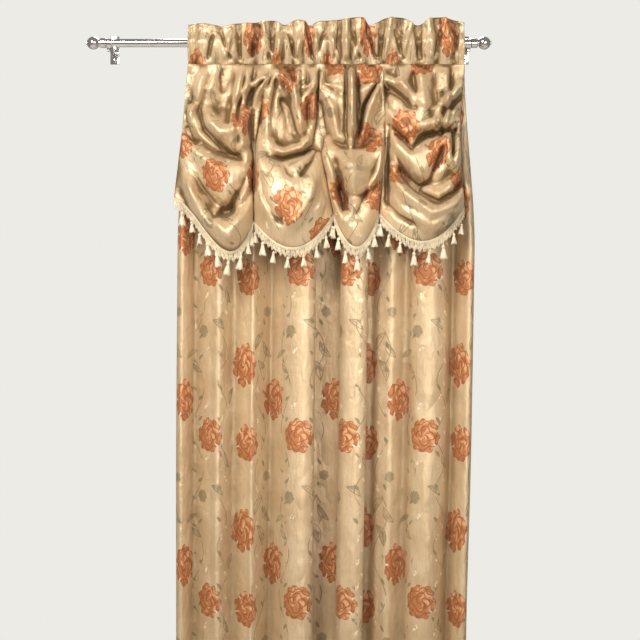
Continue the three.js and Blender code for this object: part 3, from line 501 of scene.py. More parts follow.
def laid_flat(points):
    """Spreads a grid of points flat, keeping the lengths between neighbours as nearly as they can be."""
    rows, columns = points.shape[:2]
    coarse = points[::FLATTEN_STEP, ::FLATTEN_STEP]
    middle = coarse.shape[1] // 2
    down = running_length(coarse[:, middle])
    flat = np.zeros(coarse.shape[:2] + (2,))
    for r, row in enumerate(coarse):
        along = running_length(row)
        flat[r, :, 0] = along - along[middle]
        flat[r, :, 1] = -down[r]
    spans = [
        ((slice(None), slice(None, -1)), (slice(None), slice(1, None))),
        ((slice(None, -1), slice(None)), (slice(1, None), slice(None))),
        ((slice(None, -1), slice(None, -1)), (slice(1, None), slice(1, None))),
        ((slice(None, -1), slice(1, None)), (slice(1, None), slice(None, -1))),
    ]
    wanted = [np.linalg.norm(coarse[b] - coarse[a], axis=2) for a, b in spans]
    for _ in range(FLATTEN_ROUNDS):
        move = np.zeros_like(flat)
        for (a, b), want in zip(spans, wanted):
            apart = flat[b] - flat[a]
            length = np.maximum(np.linalg.norm(apart, axis=2), 1e-6)
            pull = apart * (0.5 * (length - want) / length)[:, :, None]
            move[a] += pull
            move[b] -= pull
        flat += move / 4
    return spread(spread(flat, rows, 0), columns, 1)


def pattern_laid(flat, points, laid):
    """Turns and shifts a swag's flat places so that the named flower lies where the photo has it."""
    turn = math.radians(laid["turn"])
    u = flat[:, :, 0] * math.cos(turn) - flat[:, :, 1] * math.sin(turn)
    v = flat[:, :, 0] * math.sin(turn) + flat[:, :, 1] * math.cos(turn)
    away = np.hypot(points[:, :, 0] - laid["x"], points[:, :, 2] - laid["z"])
    at = np.unravel_index(np.argmin(away), away.shape)
    flower = FLOWERS[laid["flower"]]
    return np.stack([u - u[at] + flower["across"], v - v[at] + flower["up"]], axis=2)


def blurred(values, reach, axis):
    """The values of a grid along one axis, each the mean of those within reach of it."""
    ends = [np.take(values, [place] * reach, axis) for place in (0, -1)]
    padded = np.concatenate([ends[0], values, ends[1]], axis)
    share = np.ones(2 * reach + 1) / (2 * reach + 1)
    return np.apply_along_axis(lambda line: np.convolve(line, share, "valid"), axis, padded)


def depth_for_painted_shade(points, reach):
    """How far each place of a sheet lies behind the cloth about it, in millimetres, from which shade is
    painted into the creases.
    """
    back = points[:, :, 1]
    level = back
    for axis, steps in enumerate(reach):
        level = blurred(blurred(level, steps, axis), steps, axis) if steps else level
    return back - level


def put_in_scene(name, data):
    made = bpy.data.objects.new(name, data)
    bpy.context.scene.collection.objects.link(made)
    return made


def new_object(name, mesh, material):
    made = put_in_scene(name, mesh)
    mesh.materials.clear()
    mesh.materials.append(material)
    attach(made, "root")
    return made


def mesh_from(bm, name):
    mesh = bpy.data.meshes.new(name)
    bm.to_mesh(mesh)
    bm.free()
    return mesh


def turned_round(bm, line, centre, axis, steps, merged):
    """Turns a line of places about an axis into a closed round shape."""
    verts = [bm.verts.new(place) for place in line]
    edges = [bm.edges.new(pair) for pair in zip(verts, verts[1:])]
    whole = verts + edges
    bmesh.ops.spin(bm, geom=whole, cent=centre, axis=axis, angle=FULL_TURN, steps=steps, use_merge=True)
    bmesh.ops.remove_doubles(bm, verts=bm.verts, dist=merged)


def smooth(mesh):
    mesh.polygons.foreach_set("use_smooth", np.ones(len(mesh.polygons), bool))


def cloth_mesh(name, grids, flats, reach, tinted):
    """A sheet from grids that share their side columns, with its flat place in millimetres as UV."""
    per = grids[0].shape[1] - 1
    rows = grids[0].shape[0]
    columns = per * len(grids)
    bm = bmesh.new()
    bmesh.ops.create_grid(bm, x_segments=columns, y_segments=rows - 1, size=1)
    mesh = mesh_from(bm, name)
    start = np.empty(len(mesh.vertices) * 3, np.float32)
    mesh.vertices.foreach_get("co", start)
    start = start.reshape(-1, 3)
    place = np.rint((start[:, 0] + 1) / 2 * columns).astype(int)
    row = np.rint((1 - start[:, 1]) / 2 * (rows - 1)).astype(int)
    whole = np.concatenate([grids[0]] + [grid[:, 1:] for grid in grids[1:]], axis=1)
    mesh.vertices.foreach_set("co", (whole[row, place] * MM).astype(np.float32).ravel())
    corner = np.empty(len(mesh.loops), np.int32)
    mesh.loops.foreach_get("vertex_index", corner)
    face_first = place[corner].reshape(-1, 4).min(axis=1)
    part = np.repeat(np.minimum(face_first // per, len(grids) - 1), 4)
    uv = np.array(flats)[part, row[corner], place[corner] - part * per]
    layer = mesh.uv_layers.new(name="cloth")
    layer.data.foreach_set("uv", uv.astype(np.float32).ravel())
    # Painted shade: how far each place lies back in a crease, scaled by tinted, kept for darkening the
    # cloth's colour there.
    shade_in_creases = mesh.attributes.new("painted_crease_shade", "FLOAT", "POINT")
    shade_in_creases.data.foreach_set("value", (tinted * depth_for_painted_shade(whole, reach))[row, place].astype(np.float32))
    smooth(mesh)
    mesh.update()
    return mesh


def thicken(made, thickness):
    solid = made.modifiers.new("thickness", "SOLIDIFY")
    solid.thickness = thickness
    solid.offset = 0


class Shading:
    """Adds nodes to a tree and hands back their output sockets."""

    def __init__(self, tree):
        self.tree = tree

    def node(self, kind, settings=None, **inputs):
        made = self.tree.nodes.new(kind)
        for name, value in (settings or {}).items():
            setattr(made, name, value)
        for name, value in inputs.items():
            self.put(made.inputs[name.replace("_", " ")], value)
        return made

    def put(self, socket, value):
        if isinstance(value, bpy.types.NodeSocket):
            self.tree.links.new(value, socket)
        else:
            socket.default_value = value

    def math(self, operation, *values):
        made = self.tree.nodes.new("ShaderNodeMath")
        made.operation = operation
        for socket, value in zip(made.inputs, values):
            self.put(socket, value)
        return made.outputs[0]

    def chain(self, operation, values):
        total = values[0]
        for value in values[1:]:
            total = self.math(operation, total, value)
        return total

    def add(self, *values):
        return self.chain("ADD", values)

    def times(self, *values):
        return self.chain("MULTIPLY", values)

    def most(self, *values):
        return self.chain("MAXIMUM", values)

    def less(self, a, b):
        return self.math("SUBTRACT", a, b)

    def above(self, value, low, high):
        """0 below low and 1 above high, with a soft step between."""
        soft = {"interpolation_type": "SMOOTHSTEP"}
        made = self.node("ShaderNodeMapRange", soft, Value=value, From_Min=low, From_Max=high)
        return made.outputs["Result"]

    def line(self, off, inner, outer):
        """1 where off is near 0, and 0 further away than outer."""
        return self.less(1.0, self.above(self.math("ABSOLUTE", off), inner, outer))

    def colour(self, factor, first, second, blend="MIX"):
        made = self.node("ShaderNodeMix", {"data_type": "RGBA", "blend_type": blend}, Factor=factor)
        for label, value in (("A", first), ("B", second)):
            socket = next(each for each in made.inputs if each.name == label and each.type == "RGBA")
            self.put(socket, value if isinstance(value, bpy.types.NodeSocket) else (*value[:3], 1))
        return next(each for each in made.outputs if each.type == "RGBA")

    def noise(self, place, scale, detail=2.0):
        return self.node("ShaderNodeTexNoise", Vector=place, Scale=scale, Detail=detail).outputs["Fac"]

    def stretched(self, x, y, across, up, detail=2.0):
        """Noise that is as fine as across and up say, along the cloth and down it."""
        place = self.node("ShaderNodeCombineXYZ", X=self.times(x, across), Y=self.times(y, up)).outputs[0]
        return self.noise(place, 1.0, detail)

    def raised(self, height, strength, distance):
        bump = self.node("ShaderNodeBump", Strength=strength, Distance=distance, Height=height)
        return bump.outputs["Normal"]


def new_material(name):
    """A material with its name, the nodes' helper and its shader's sockets."""
    material = bpy.data.materials.new(name)
    material.use_nodes = True
    return material, Shading(material.node_tree), material.node_tree.nodes["Principled BSDF"].inputs


def group_tree(name, inputs, outputs):
    tree = bpy.data.node_groups.new(name, "ShaderNodeTree")
    for way, labels in (("INPUT", inputs), ("OUTPUT", outputs)):
        for label in labels.split():
            tree.interface.new_socket(name=label, in_out=way, socket_type="NodeSocketFloat")
    return tree, tree.nodes.new("NodeGroupInput").outputs, tree.nodes.new("NodeGroupOutput").inputs


def flower_group():
    """A full-blown woven flower: its lobed body, dark lines, pale petals and bright slits."""
    inputs = "across up radius turn form ragged mottle"
    tree, given, made = group_tree("flower", inputs, "body line pale slit")
    s = Shading(tree)
    across = s.add(given["across"], s.times(given["ragged"], 5.0))
    up = s.add(given["up"], s.times(given["ragged"], -4.0))
    distance = s.math("SQRT", s.add(s.times(across, across), s.times(up, up)))
    angle = s.add(s.math("ARCTAN2", up, across), given["turn"])
    lobes = s.math("COSINE", s.add(s.times(angle, 6.0), given["form"]))
    small_lobes = s.math("COSINE", s.add(s.times(angle, 11.0), s.times(given["form"], 2.0)))
    share = s.math("DIVIDE", distance, given["radius"])
    rim = s.add(0.9, s.times(lobes, 0.045), s.times(small_lobes, 0.04), s.times(given["ragged"], 0.2))
    inside = s.less(rim, share)
    body = s.above(inside, -0.015, 0.02)
    some = s.above(s.math("COSINE", s.add(angle, s.times(given["form"], 2.0))), 0.0, 0.3)
    slit = s.times(s.above(lobes, -0.9, -0.98), some, s.above(share, 0.6, 0.7))
    s.put(made["body"], s.times(body, s.less(1.0, s.times(slit, 0.85))))
    s.put(made["slit"], s.times(body, slit))

    def ring(at, wave, swing):
        off = s.add(s.less(share, at), s.times(wave, swing), s.times(given["mottle"], 0.16))
        return s.line(off, 0.02, 0.05)

    edge = s.times(s.less(1.0, s.above(inside, 0.04, 0.09)), s.above(small_lobes, -0.7, 0.0))
    curl = s.math("COSINE", s.add(s.times(angle, 2.0), s.times(share, 15.0), s.times(given["mottle"], 4.0)))
    heart = s.times(s.above(curl, 0.55, 0.9), s.less(1.0, s.above(share, 0.32, 0.4)))
    folds = s.times(s.above(small_lobes, 0.75, 0.95), s.above(share, 0.66, 0.72))
    waves = s.math("COSINE", s.add(s.times(angle, 4.0), given["form"]))
    lines = s.most(edge, ring(0.7, lobes, 0.09), ring(0.46, waves, 0.07), heart, s.times(folds, 0.7))
    s.put(made["line"], s.times(body, lines))
    streaks = s.math("COSINE", s.add(s.times(angle, 5.0), s.times(share, 10.0)))
    lit = s.times(s.math("COSINE", s.less(angle, given["form"])), share, 0.7)
    s.put(made["pale"], s.above(s.add(lit, s.times(streaks, 0.45), s.times(given["mottle"], 2.6)), -0.1, 0.7))
    return tree


def leaf_group():
    """A leaf drawn as a lens along its own length: its blade, and its edge and midrib."""
    tree, given, made = group_tree("leaf", "across up length width turn", "blade line")
    s = Shading(tree)
    cosine, sine = s.math("COSINE", given["turn"]), s.math("SINE", given["turn"])
    along = s.add(s.times(given["across"], cosine), s.times(given["up"], sine))
    beside = s.less(s.times(given["up"], cosine), s.times(given["across"], sine))
    beside = s.add(beside, s.times(along, along, 0.012))
    share = s.math("DIVIDE", along, given["length"])
    half = s.times(given["width"], s.less(1.0, s.times(share, share)))
    inside = s.less(half, s.math("ABSOLUTE", beside))
    blade = s.above(inside, -0.3, 0.5)
    s.put(made["blade"], blade)
    rib = s.times(blade, s.line(beside, 0.3, 1.0))
    s.put(made["line"], s.most(s.line(s.less(inside, 0.8), 0.5, 1.3), rib))
    return tree


# The woven repeat's motifs: their places across and up from a flower of the first kind, in millimetres.
FLOWERS = table("across up radius turn form narrow", [
    (0, 0, 43, 0.4, 1.0, 0.68), (72, -68, 36, 1.9, 2.3, 0.98), (175, -84, 38, 2.8, 3.7, 0.9),
    (167, 68, 46, 4.1, 5.2, 0.74),
])
LEAVES = table("across up length width turn", [
    (205, 118, 22, 8, 0.9), (232, 96, 20, 7, 2.2), (222, 60, 24, 9, -1.1), (20, 92, 17, 5, 0.5),
    (34, 60, 16, 5, 2.5), (96, 150, 18, 6, -0.6), (130, 8, 17, 5, 1.3), (118, -118, 18, 6, 2.0),
])
BLOOMS = table("across up radius turn form", [
    (52, 134, 14, 0.0, 0.7), (236, -150, 11, 1.0, 2.9),
])
STEMS = table("across swing waves start", [
    (38, 16, 2, 0.6), (108, 13, 3, 2.4), (216, 18, 2, 4.0),
])
SPRIG_LEAVES = table("across up every length width turn", [
    (44, 4, 40.25, 8, 3.0, 0.7), (29, 22, 53.67, 7, 2.6, 2.5), (226, 14, 46, 8, 3.2, 2.1),
    (100, 26, 64.4, 9, 3.4, -0.9),
])
# Leaves in lighter thread, whose bright flecks are partly painted glints.
SHINING_LEAVES = table("across up every length width turn", [
    (104, 10, 46, 9, 3.6, 1.2), (117, 31, 46, 9, 3.6, 2.3), (206, 22, 64.4, 10, 4, 1.9),
    (62, -10, 107.33, 10, 4, 0.8),
])


WEAVE_PITCH = {"warp": 0.7, "weft": 0.9}


def satin_jacquard(sizes, name):
    """Satin with a woven repeat of flowers, leaves and stems, laid on the cloth's own flat place."""
    material, s, shader = new_material(name)
    flower, leaf = flower_group(), leaf_group()
    uv = s.node("ShaderNodeUVMap", {"uv_map": "cloth"}).outputs[0]
    across, up = s.node("ShaderNodeSeparateXYZ", Vector=uv).outputs[:2]
    wide, high = REPEAT

    def around(value, middle, period):
        return s.math("WRAP", s.less(value, middle), period / 2, -period / 2)

    ragged = s.less(s.noise(uv, 0.09), 0.5)
    mottle = s.less(s.noise(uv, 0.05), 0.5)

    def motifs(tree_of, rows, names, **shared):
        """Each row's motif, once in every repeat."""
        found = []
        for row in rows:
            values = {label: row[label] for label in names.split()} | shared
            values["across"] = s.math("DIVIDE", around(across, row["across"], wide), row.get("narrow", 1.0))
            values["up"] = around(up, row["up"], row.get("every", high))
            found.append(s.node("ShaderNodeGroup", {"node_tree": tree_of}, **values).outputs)
        return found

    def all_of(parts, label):
        return [part[label] for part in parts]

    blown, blooms = [
        motifs(flower, rows, "radius turn form", ragged=ragged, mottle=mottle) for rows in (FLOWERS, BLOOMS)
    ]
    leaves, shining, tiny = [
        motifs(leaf, rows, "length width turn") for rows in (LEAVES, SHINING_LEAVES, SPRIG_LEAVES)
    ]
    body, line, slits = [s.most(*all_of(blown, label)) for label in ("body", "line", "slit")]
    pale = s.most(*[s.times(part["pale"], part["body"]) for part in blown])
    stems = []
    for row in STEMS:
        wave = s.math("SINE", s.add(s.times(up, FULL_TURN * row["waves"] / high), row["start"]))
        off = around(s.less(across, s.times(wave, row["swing"])), row["across"], wide)
        stems.append(s.line(off, 0.6, 1.5))
    patchy = s.noise(uv, 0.03)
    sprouting = s.times(s.most(*stems, *all_of(tiny, "blade")), s.above(patchy, 0.42, 0.5))
    drawn = s.most(*all_of(leaves, "line"), sprouting)
    # Painted highlight in part: the shining leaves are lighter woven leaves broken into bright flecks that
    # stand in for satin glints.
    flecks = s.above(s.stretched(across, up, 0.2, 0.12), 0.44, 0.56)
    glints = s.times(s.most(*all_of(shining, "blade")), flecks, s.above(patchy, 0.56, 0.46))

    threads = s.stretched(across, up, 1.6, 0.02)
    slubs = s.stretched(across, up, 0.01, 0.5)
    streaks = s.stretched(across, up, 0.22, 0.035, 3.0)
    ground = s.colour(s.above(s.noise(uv, 0.012), 0.35, 0.65), sizes.ground, sizes.ground_light)
    for share, tint in (
        (s.times(s.above(threads, 0.45, 0.75), 0.3), sizes.ground_thread),
        (s.times(s.above(slubs, 0.5, 0.8), 0.18), sizes.ground_thread),
        (s.times(s.above(streaks, 0.42, 0.66), 0.3), sizes.ground_thread),
        (s.times(s.most(*all_of(leaves, "blade")), s.above(mottle, -0.05, 0.12), 0.5), sizes.leaf),
        (s.times(glints, 0.8), sizes.shining),
        (s.times(slits, 0.7), sizes.shining),
        (s.times(drawn, 0.72), sizes.leaf),
        (s.times(s.most(*all_of(blooms, "body")), 0.6), sizes.leaf),
    ):
        ground = s.colour(share, ground, tint)
    petals = s.colour(pale, sizes.copper, sizes.copper_pale)
    for share in (s.times(line, 0.85), s.times(s.above(threads, 0.5, 0.8), 0.25)):
        petals = s.colour(share, petals, sizes.copper_dark)
    cloth = s.colour(body, ground, petals)
    # Painted shade: the cloth's colours are multiplied by a dark colour where it lies back in creases.
    shade_in_creases = s.node("ShaderNodeAttribute", {"attribute_name": "painted_crease_shade"}).outputs["Fac"]
    s.put(shader["Base Color"], s.colour(s.above(shade_in_creases, -0.4, 4.2), cloth, sizes.painted_crease_shade, "MULTIPLY"))

    smoother = s.times(glints, -0.1)
    rough = s.add(0.44, s.times(mottle, 0.3), s.times(body, 0.12), s.times(drawn, 0.12), smoother)
    s.put(shader["Roughness"], rough)
    tangent = s.node("ShaderNodeTangent", {"direction_type": "UV_MAP", "uv_map": "cloth"})
    s.put(shader["Tangent"], tangent.outputs[0])
    for label, value in (
        ("Metallic", 0.34), ("Anisotropic", 0.55), ("Specular IOR Level", 0.5), ("Sheen Weight", 0.2),
        ("Sheen Roughness", 0.4), ("Sheen Tint", (0.9, 0.72, 0.46, 1)),
    ):
        shader[label].default_value = value

    warp = s.math("SINE", s.times(across, FULL_TURN / WEAVE_PITCH["warp"]))
    weft = s.math("SINE", s.times(up, FULL_TURN / WEAVE_PITCH["weft"]))
    puckered = s.stretched(across, up, 0.06, 0.028, 3.0)
    crumpled = s.math("ABSOLUTE", s.less(s.stretched(across, up, 0.022, 0.015), 0.5))
    wrinkled = s.stretched(across, up, 0.16, 0.09, 3.0)
    height = s.add(
        s.times(warp, weft, 0.015), s.times(threads, 0.12), s.times(wrinkled, 2.2), s.times(puckered, 1.8),
        s.times(crumpled, 12.0),
    )
    s.put(shader["Normal"], s.raised(height, 0.6, MM))
    return material


def darker(colour, share):
    return [part * share for part in colour]


def twisted_thread(sizes, name):
    """Matt twisted thread, whose fibres run down a tassel and lie every way in the lace."""
    colour, strands = {
        "lace_thread": (sizes.lace, (900.0, 900.0, 900.0)),
        "tassel_thread": (sizes.tassel, (1300.0, 1300.0, 40.0)),
    }[name]
    material, s, shader = new_material(name)
    place = s.node("ShaderNodeTexCoord").outputs["Object"]
    patchy = s.noise(place, 60.0, 3.0)
    finer = s.node("ShaderNodeVectorMath", {"operation": "MULTIPLY"})
    s.put(finer.inputs[0], place)
    s.put(finer.inputs[1], strands)
    fibre = s.noise(finer.outputs[0], 1.0)
    tinted = s.colour(s.above(patchy, 0.35, 0.7), colour, darker(colour, 0.78))
    tinted = s.colour(s.times(s.above(fibre, 0.5, 0.7), 0.45), tinted, darker(colour, 0.55))
    s.put(shader["Base Color"], tinted)
    s.put(shader["Roughness"], s.add(0.5, s.times(patchy, 0.25)))
    shader["Sheen Weight"].default_value = 0.4
    s.put(shader["Normal"], s.raised(fibre, 0.6, MM * 0.5))
    return material


def polished_nickel(sizes, name):
    """Polished plating with faint smears and fine scratches."""
    material, s, shader = new_material(name)
    place = s.node("ShaderNodeTexCoord").outputs["Object"]
    smears = s.noise(place, 45.0, 4.0)
    scratches = s.noise(place, 900.0)
    s.put(shader["Base Color"], s.colour(s.above(smears, 0.3, 0.8), sizes.nickel, darker(sizes.nickel, 0.86)))
    shader["Metallic"].default_value = 1.0
    s.put(shader["Roughness"], s.add(0.08, s.times(smears, 0.1), s.times(s.above(scratches, 0.6, 0.8), 0.08)))
    s.put(shader["Normal"], s.raised(scratches, 0.08, MM * 0.2))
    return material


FINISHES = {
    "woven_satin": satin_jacquard,
    "lace_thread": twisted_thread,
    "tassel_thread": twisted_thread,
    "bright_nickel": polished_nickel,
}


def finish(name, sizes):
    """The named finish, made when a piece first needs it."""
    return bpy.data.materials.get(name) or FINISHES[name](sizes, name)


# The fringe: the braid's own depth, its scallops and net, and the tassels on it.
BRAID_DEPTH = 19
CRUSHED_DEPTH = 2
TASSEL_PITCH = 29
TASSEL_MARGIN = 0.7
TASSEL_TURN = 0.9
TASSEL_OUTLINE = [
    (0.1, 0), (1.0, -0.2), (1.1, -1.8), (3.1, -3.2), (3.7, -5.2), (3.1, -7.2), (2.0, -8.2),
    (2.3, -9.0), (3.2, -12), (4.6, -17), (5.7, -22), (6.3, -27),
]
TASSEL_NECK = -8.2
TASSEL_SKIRT = 19
TASSEL_SIDES = 20
TASSEL_FLUTES = 10
TASSEL_STRANDS = 14
GIMP_PITCH = 5
NET_PITCH = 9
THREAD_RADIUS = 0.55
STRAND_RADIUS = 0.35
LACE_STEP = 0.9
TIE_FREES = 13
SEWN_BELOW_HEM = 0.3


def braid_lines(swags):
    """The braid's upper and lower edge, and the way out from it, along the valance's hem."""
    hem, above = [
        np.concatenate([swags[0][row]] + [swag[row, 1:] for swag in swags[1:]]) for row in (-1, -3)
    ]
    half = SWAG_COLUMNS // 2
    from_tie = np.abs((np.arange(len(hem)) + half) % SWAG_COLUMNS - half)
    free = ease(from_tie / SWAG_COLUMNS * TIE_FREES)
    free[:half] = free[-half:] = 1
    depth = CRUSHED_DEPTH + (BRAID_DEPTH - CRUSHED_DEPTH) * free
    down = hem - above
    down /= np.linalg.norm(down, axis=1)[:, None]
    top = hem + down * SEWN_BELOW_HEM
    low = top - depth[:, None] * (0, 0, 1)
    along = np.gradient(top, axis=0)
    out = np.cross(along, top - low)
    out /= np.linalg.norm(out, axis=1)[:, None]
    return top, low, np.where(out[:, 1:2] > 0, -out, out)


def threads_object(name, runs, radius, material):
    """Thin round threads along runs of points, as one mesh."""
    curve = bpy.data.curves.new(name, "CURVE")
    curve.dimensions = "3D"
    curve.bevel_depth = radius * MM
    curve.bevel_resolution = 0
    curve.use_fill_caps = True
    for run in runs:
        spline = curve.splines.new("POLY")
        spline.points.add(len(run) - 1)
        whole = np.concatenate([np.asarray(run) * MM, np.ones((len(run), 1))], axis=1)
        spline.points.foreach_set("co", whole.astype(np.float32).ravel())
    holder = put_in_scene(name, curve)
    graph = bpy.context.evaluated_depsgraph_get()
    mesh = bpy.data.meshes.new_from_object(holder.evaluated_get(graph))
    bpy.data.objects.remove(holder)
    bpy.data.curves.remove(curve)
    smooth(mesh)
    return new_object(name, mesh, material)


def on_braid(top, low, out, s, down, lift):
    """Places on the braid: s along it in millimetres, down from 0 (top) to 1, lifted off its face."""
    lengths = running_length(top)
    upper, lower, facing = [
        np.stack([np.interp(s, lengths, part) for part in line.T], axis=1) for line in (top, low, out)
    ]
    return upper + (lower - upper) * np.asarray(down)[:, None] + facing * np.asarray(lift)[:, None]


def lace_runs(top, low, out):
    """The lace's threads: twisted gimp along its upper edge, a net of crossing threads, and scallops below.
    """
    s = np.arange(0, running_length(top)[-1], LACE_STEP)
    turns = FULL_TURN * s / GIMP_PITCH
    threads = []
    for start in (0, np.pi / 2, np.pi, 1.5 * np.pi):
        threads.append((0.1 + 0.12 * np.sin(turns + start), 0.7 * np.cos(turns + start)))
    for start in (0, np.pi):
        wave = FULL_TURN * s / NET_PITCH + start
        threads.append((0.52 + 0.36 * np.sin(wave), 0.5 + 0.5 * np.cos(2 * wave)))
        threads.append((0.5 + 0.34 * np.sin(0.62 * wave + 1), 0.4 * np.cos(wave)))
    loops = np.abs(np.sin(np.pi * s / (TASSEL_PITCH / 3)))
    for share in (0.3, 0.55, 0.8, 0.95):
        frayed = 0.03 * np.sin(turns / 3 + 5 * share)
        threads.append((0.34 + share * 0.78 * loops + frayed, 0.5 * np.cos(turns + share)))
    return [on_braid(top, low, out, s, down, lift) for down, lift in threads]


def tassel_bmesh():
    """One tassel hanging from its knot at the origin, in millimetres: wrapped head and fluted skirt."""
    bm = bmesh.new()
    line = [(radius, 0, z) for radius, z in TASSEL_OUTLINE]
    turned_round(bm, line, (0, 0, 0), (0, 0, 1), TASSEL_SIDES, 0.01)
    for vert in bm.verts:
        x, y, z = vert.co
        angle = math.atan2(y, x)
        if z < TASSEL_NECK:
            share = (TASSEL_NECK - z) / TASSEL_SKIRT
            spread = 1 + 0.16 * share * math.cos(TASSEL_FLUTES * angle) + 0.1 * share * math.sin(3 * angle)
            vert.co = Vector((x * spread, y * spread, z + 1.6 * share * math.sin(5 * angle)))
    bmesh.ops.recalc_face_normals(bm, faces=bm.faces)
    return bm


def tassel_places(top, low):
    places = []
    for swag in range(SWAG_COUNT):
        edge = low[swag * SWAG_COLUMNS : (swag + 1) * SWAG_COLUMNS + 1]
        count = round(running_length(edge)[-1] / TASSEL_PITCH - 2 * TASSEL_MARGIN + 1)
        shares = (np.arange(count) + TASSEL_MARGIN) / (count - 1 + 2 * TASSEL_MARGIN)
        places.append(evenly(edge, shares))
    return np.concatenate(places)


def tassel_strands(turn, rng, placed):
    """Loose threads that show at the foot of a tassel's skirt, placed with it."""
    runs = []
    for i in range(TASSEL_STRANDS):
        angle = turn + FULL_TURN * i / TASSEL_STRANDS + rng.uniform(-0.15, 0.15)
        t = np.linspace(0, 1, 5)
        radius = 2.4 + (4.2 + rng.uniform(-0.5, 1.2)) * t
        down = -9 - (19 + rng.uniform(-1, 2.5)) * t
        bend = angle + 0.2 * np.sin(3 * t + i)
        places = np.stack([radius * np.cos(bend), radius * np.sin(bend), down, np.ones(5)], axis=1)
        runs.append((places @ np.array(placed).T)[:, :3])
    return runs


def tint(name, description, default):
    return bpy.props.FloatVectorProperty(name=name, description=description, subtype="COLOR", default=default)


class CurtainSizes(bpy.types.PropertyGroup):
    """The curtain's finish: how thick its cloth is and its colours."""

    thickness: bpy.props.FloatProperty(
        name="Cloth thickness", description="How thick the satin is",
        default=0.0006, unit="LENGTH", min=0.0001,
    )
    ground: tint("Ground", "The satin ground", (0.58, 0.41, 0.235))
    ground_light: tint("Light ground", "The satin ground where it is lighter", (0.66, 0.49, 0.30))
    ground_thread: tint("Thread", "Darker single threads of the ground", (0.48, 0.33, 0.17))
    # Partly painted highlight: the cream of the shining leaves' bright flecks, which stand in for glints; the
    # flowers' slits share it.
    shining: tint("Shining leaves", "The bright leaves on the stems", (0.93, 0.80, 0.56))
    # Painted shade: the dark colour that multiplies the cloth's colours in its creases.
    painted_crease_shade: tint("Hollows", "What the colours are multiplied by in the creases", (0.33, 0.27, 0.18))
    leaf: tint("Leaves", "Outlines of leaves and stems", (0.19, 0.15, 0.07))
    copper: tint("Flowers", "The copper flowers", (0.47, 0.18, 0.062))
    copper_pale: tint("Pale petals", "Lighter petals of the flowers", (0.72, 0.37, 0.18))
    copper_dark: tint("Petal lines", "Outlines of the petals", (0.27, 0.085, 0.03))
    lace: tint("Lace", "The braid's thread", (0.74, 0.61, 0.40))
    tassel: tint("Tassels", "The tassels' thread", (0.74, 0.63, 0.44))
    nickel: tint("Nickel", "The rod's plating", (0.72, 0.70, 0.67))


class CurtainPanel(bpy.types.Operator):
    """Makes the gathered panel with its ruffle and rod pocket"""

    bl_idname = "curtain.panel"
    bl_label = "Panel"

    def execute(self, context):
        sizes = context.scene.curtain
        points, flat = panel_surface()
        # Shade is painted strongly into the heading's gathers and weakly into the hanging folds.
        tinted = np.where(points[:, :1, 2] >= POCKET_SEAM, SHADE_PAINTED_IN_CREASES["heading"], SHADE_PAINTED_IN_CREASES["folds"])
        mesh = cloth_mesh("panel_cloth", [points], [flat], (0, 7), tinted)
        made = new_object("panel_cloth", mesh, finish("woven_satin", sizes))
        thicken(made, sizes.thickness)
        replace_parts(made, "panel")
        return {"FINISHED"}


class CurtainValance(bpy.types.Operator):
    """Makes the valance, tied up into four swags"""

    bl_idname = "curtain.valance"
    bl_label = "Valance"

    def execute(self, context):
        sizes = context.scene.curtain
        swags = valance_surface()
        flats = [pattern_laid(laid_flat(swag), swag, laid) for swag, laid in zip(swags, SWAG_PATTERN)]
        # Shade is painted into the swags' creases at full strength.
        mesh = cloth_mesh("valance_cloth", swags, flats, (4, 4), SHADE_PAINTED_IN_CREASES["swags"])
        made = new_object("valance_cloth", mesh, finish("woven_satin", sizes))
        thicken(made, sizes.thickness)
        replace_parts(made, "valance")
        return {"FINISHED"}


class CurtainFringe(bpy.types.Operator):
    """Makes the lace braid and its tassels"""

    bl_idname = "curtain.fringe"
    bl_label = "Fringe"

    def execute(self, context):
        sizes = context.scene.curtain
        top, low, out = braid_lines(valance_surface())
        runs = lace_runs(top, low, out)
        lace = threads_object("fringe_lace", runs, THREAD_RADIUS, finish("lace_thread", sizes))
        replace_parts(lace, "fringe")
        pattern = mesh_from(tassel_bmesh(), "tassel")
        gathered = bmesh.new()
        strands = []
        rng = np.random.default_rng(4)
        for i, (x, y, z) in enumerate(tassel_places(top, low)):
            turn = TASSEL_TURN * i
            size = rng.uniform(0.78, 1.02)
            tilt = rng.uniform(-0.14, 0.14)
            z = z + rng.uniform(-4, 3)
            before = len(gathered.verts)
            gathered.from_mesh(pattern)
            gathered.verts.ensure_lookup_table()
            placed = Matrix.Translation((x, y, z)) @ Matrix.Rotation(tilt, 4, "Y")
            placed = placed @ Matrix.Rotation(turn, 4, "Z") @ Matrix.Scale(size, 4)
            bmesh.ops.transform(gathered, matrix=placed, verts=gathered.verts[before:])
            strands += tassel_strands(turn, rng, placed)
        bmesh.ops.scale(gathered, vec=(MM, MM, MM), verts=gathered.verts)
        mesh = mesh_from(gathered, "fringe_tassels")
        bpy.data.meshes.remove(pattern)
        smooth(mesh)
        new_object("fringe_tassels", mesh, finish("tassel_thread", sizes))
        threads_object("fringe_strands", strands, STRAND_RADIUS, finish("tassel_thread", sizes))
        return {"FINISHED"}


FINIAL_OUTLINE = [(0, 0), (8.6, 0), (9.5, 0.9), (9.5, 11.1), (8.6, 12), (6.9, 12), (6.5, 12.6), (6.5, 14.2)]
BALL_RADIUS = 12.5
FINIAL_TIP = 4
FINIAL_NECK = 6.5
ROUND_STEPS = 48
ROD_EDGE = 0.7
SHARP_FROM = 35


def turned(name, outline, start, side, material):
    """A turned piece about the rod's axis: its outline as (radius, along) from start, towards side."""
    bm = bmesh.new()
    line = [(start + side * along, ROD_Y, radius) for radius, along in outline]
    turned_round(bm, line, (0, ROD_Y, 0), (1, 0, 0), ROUND_STEPS, 0.001)
    return metal_piece(name, bm, material)


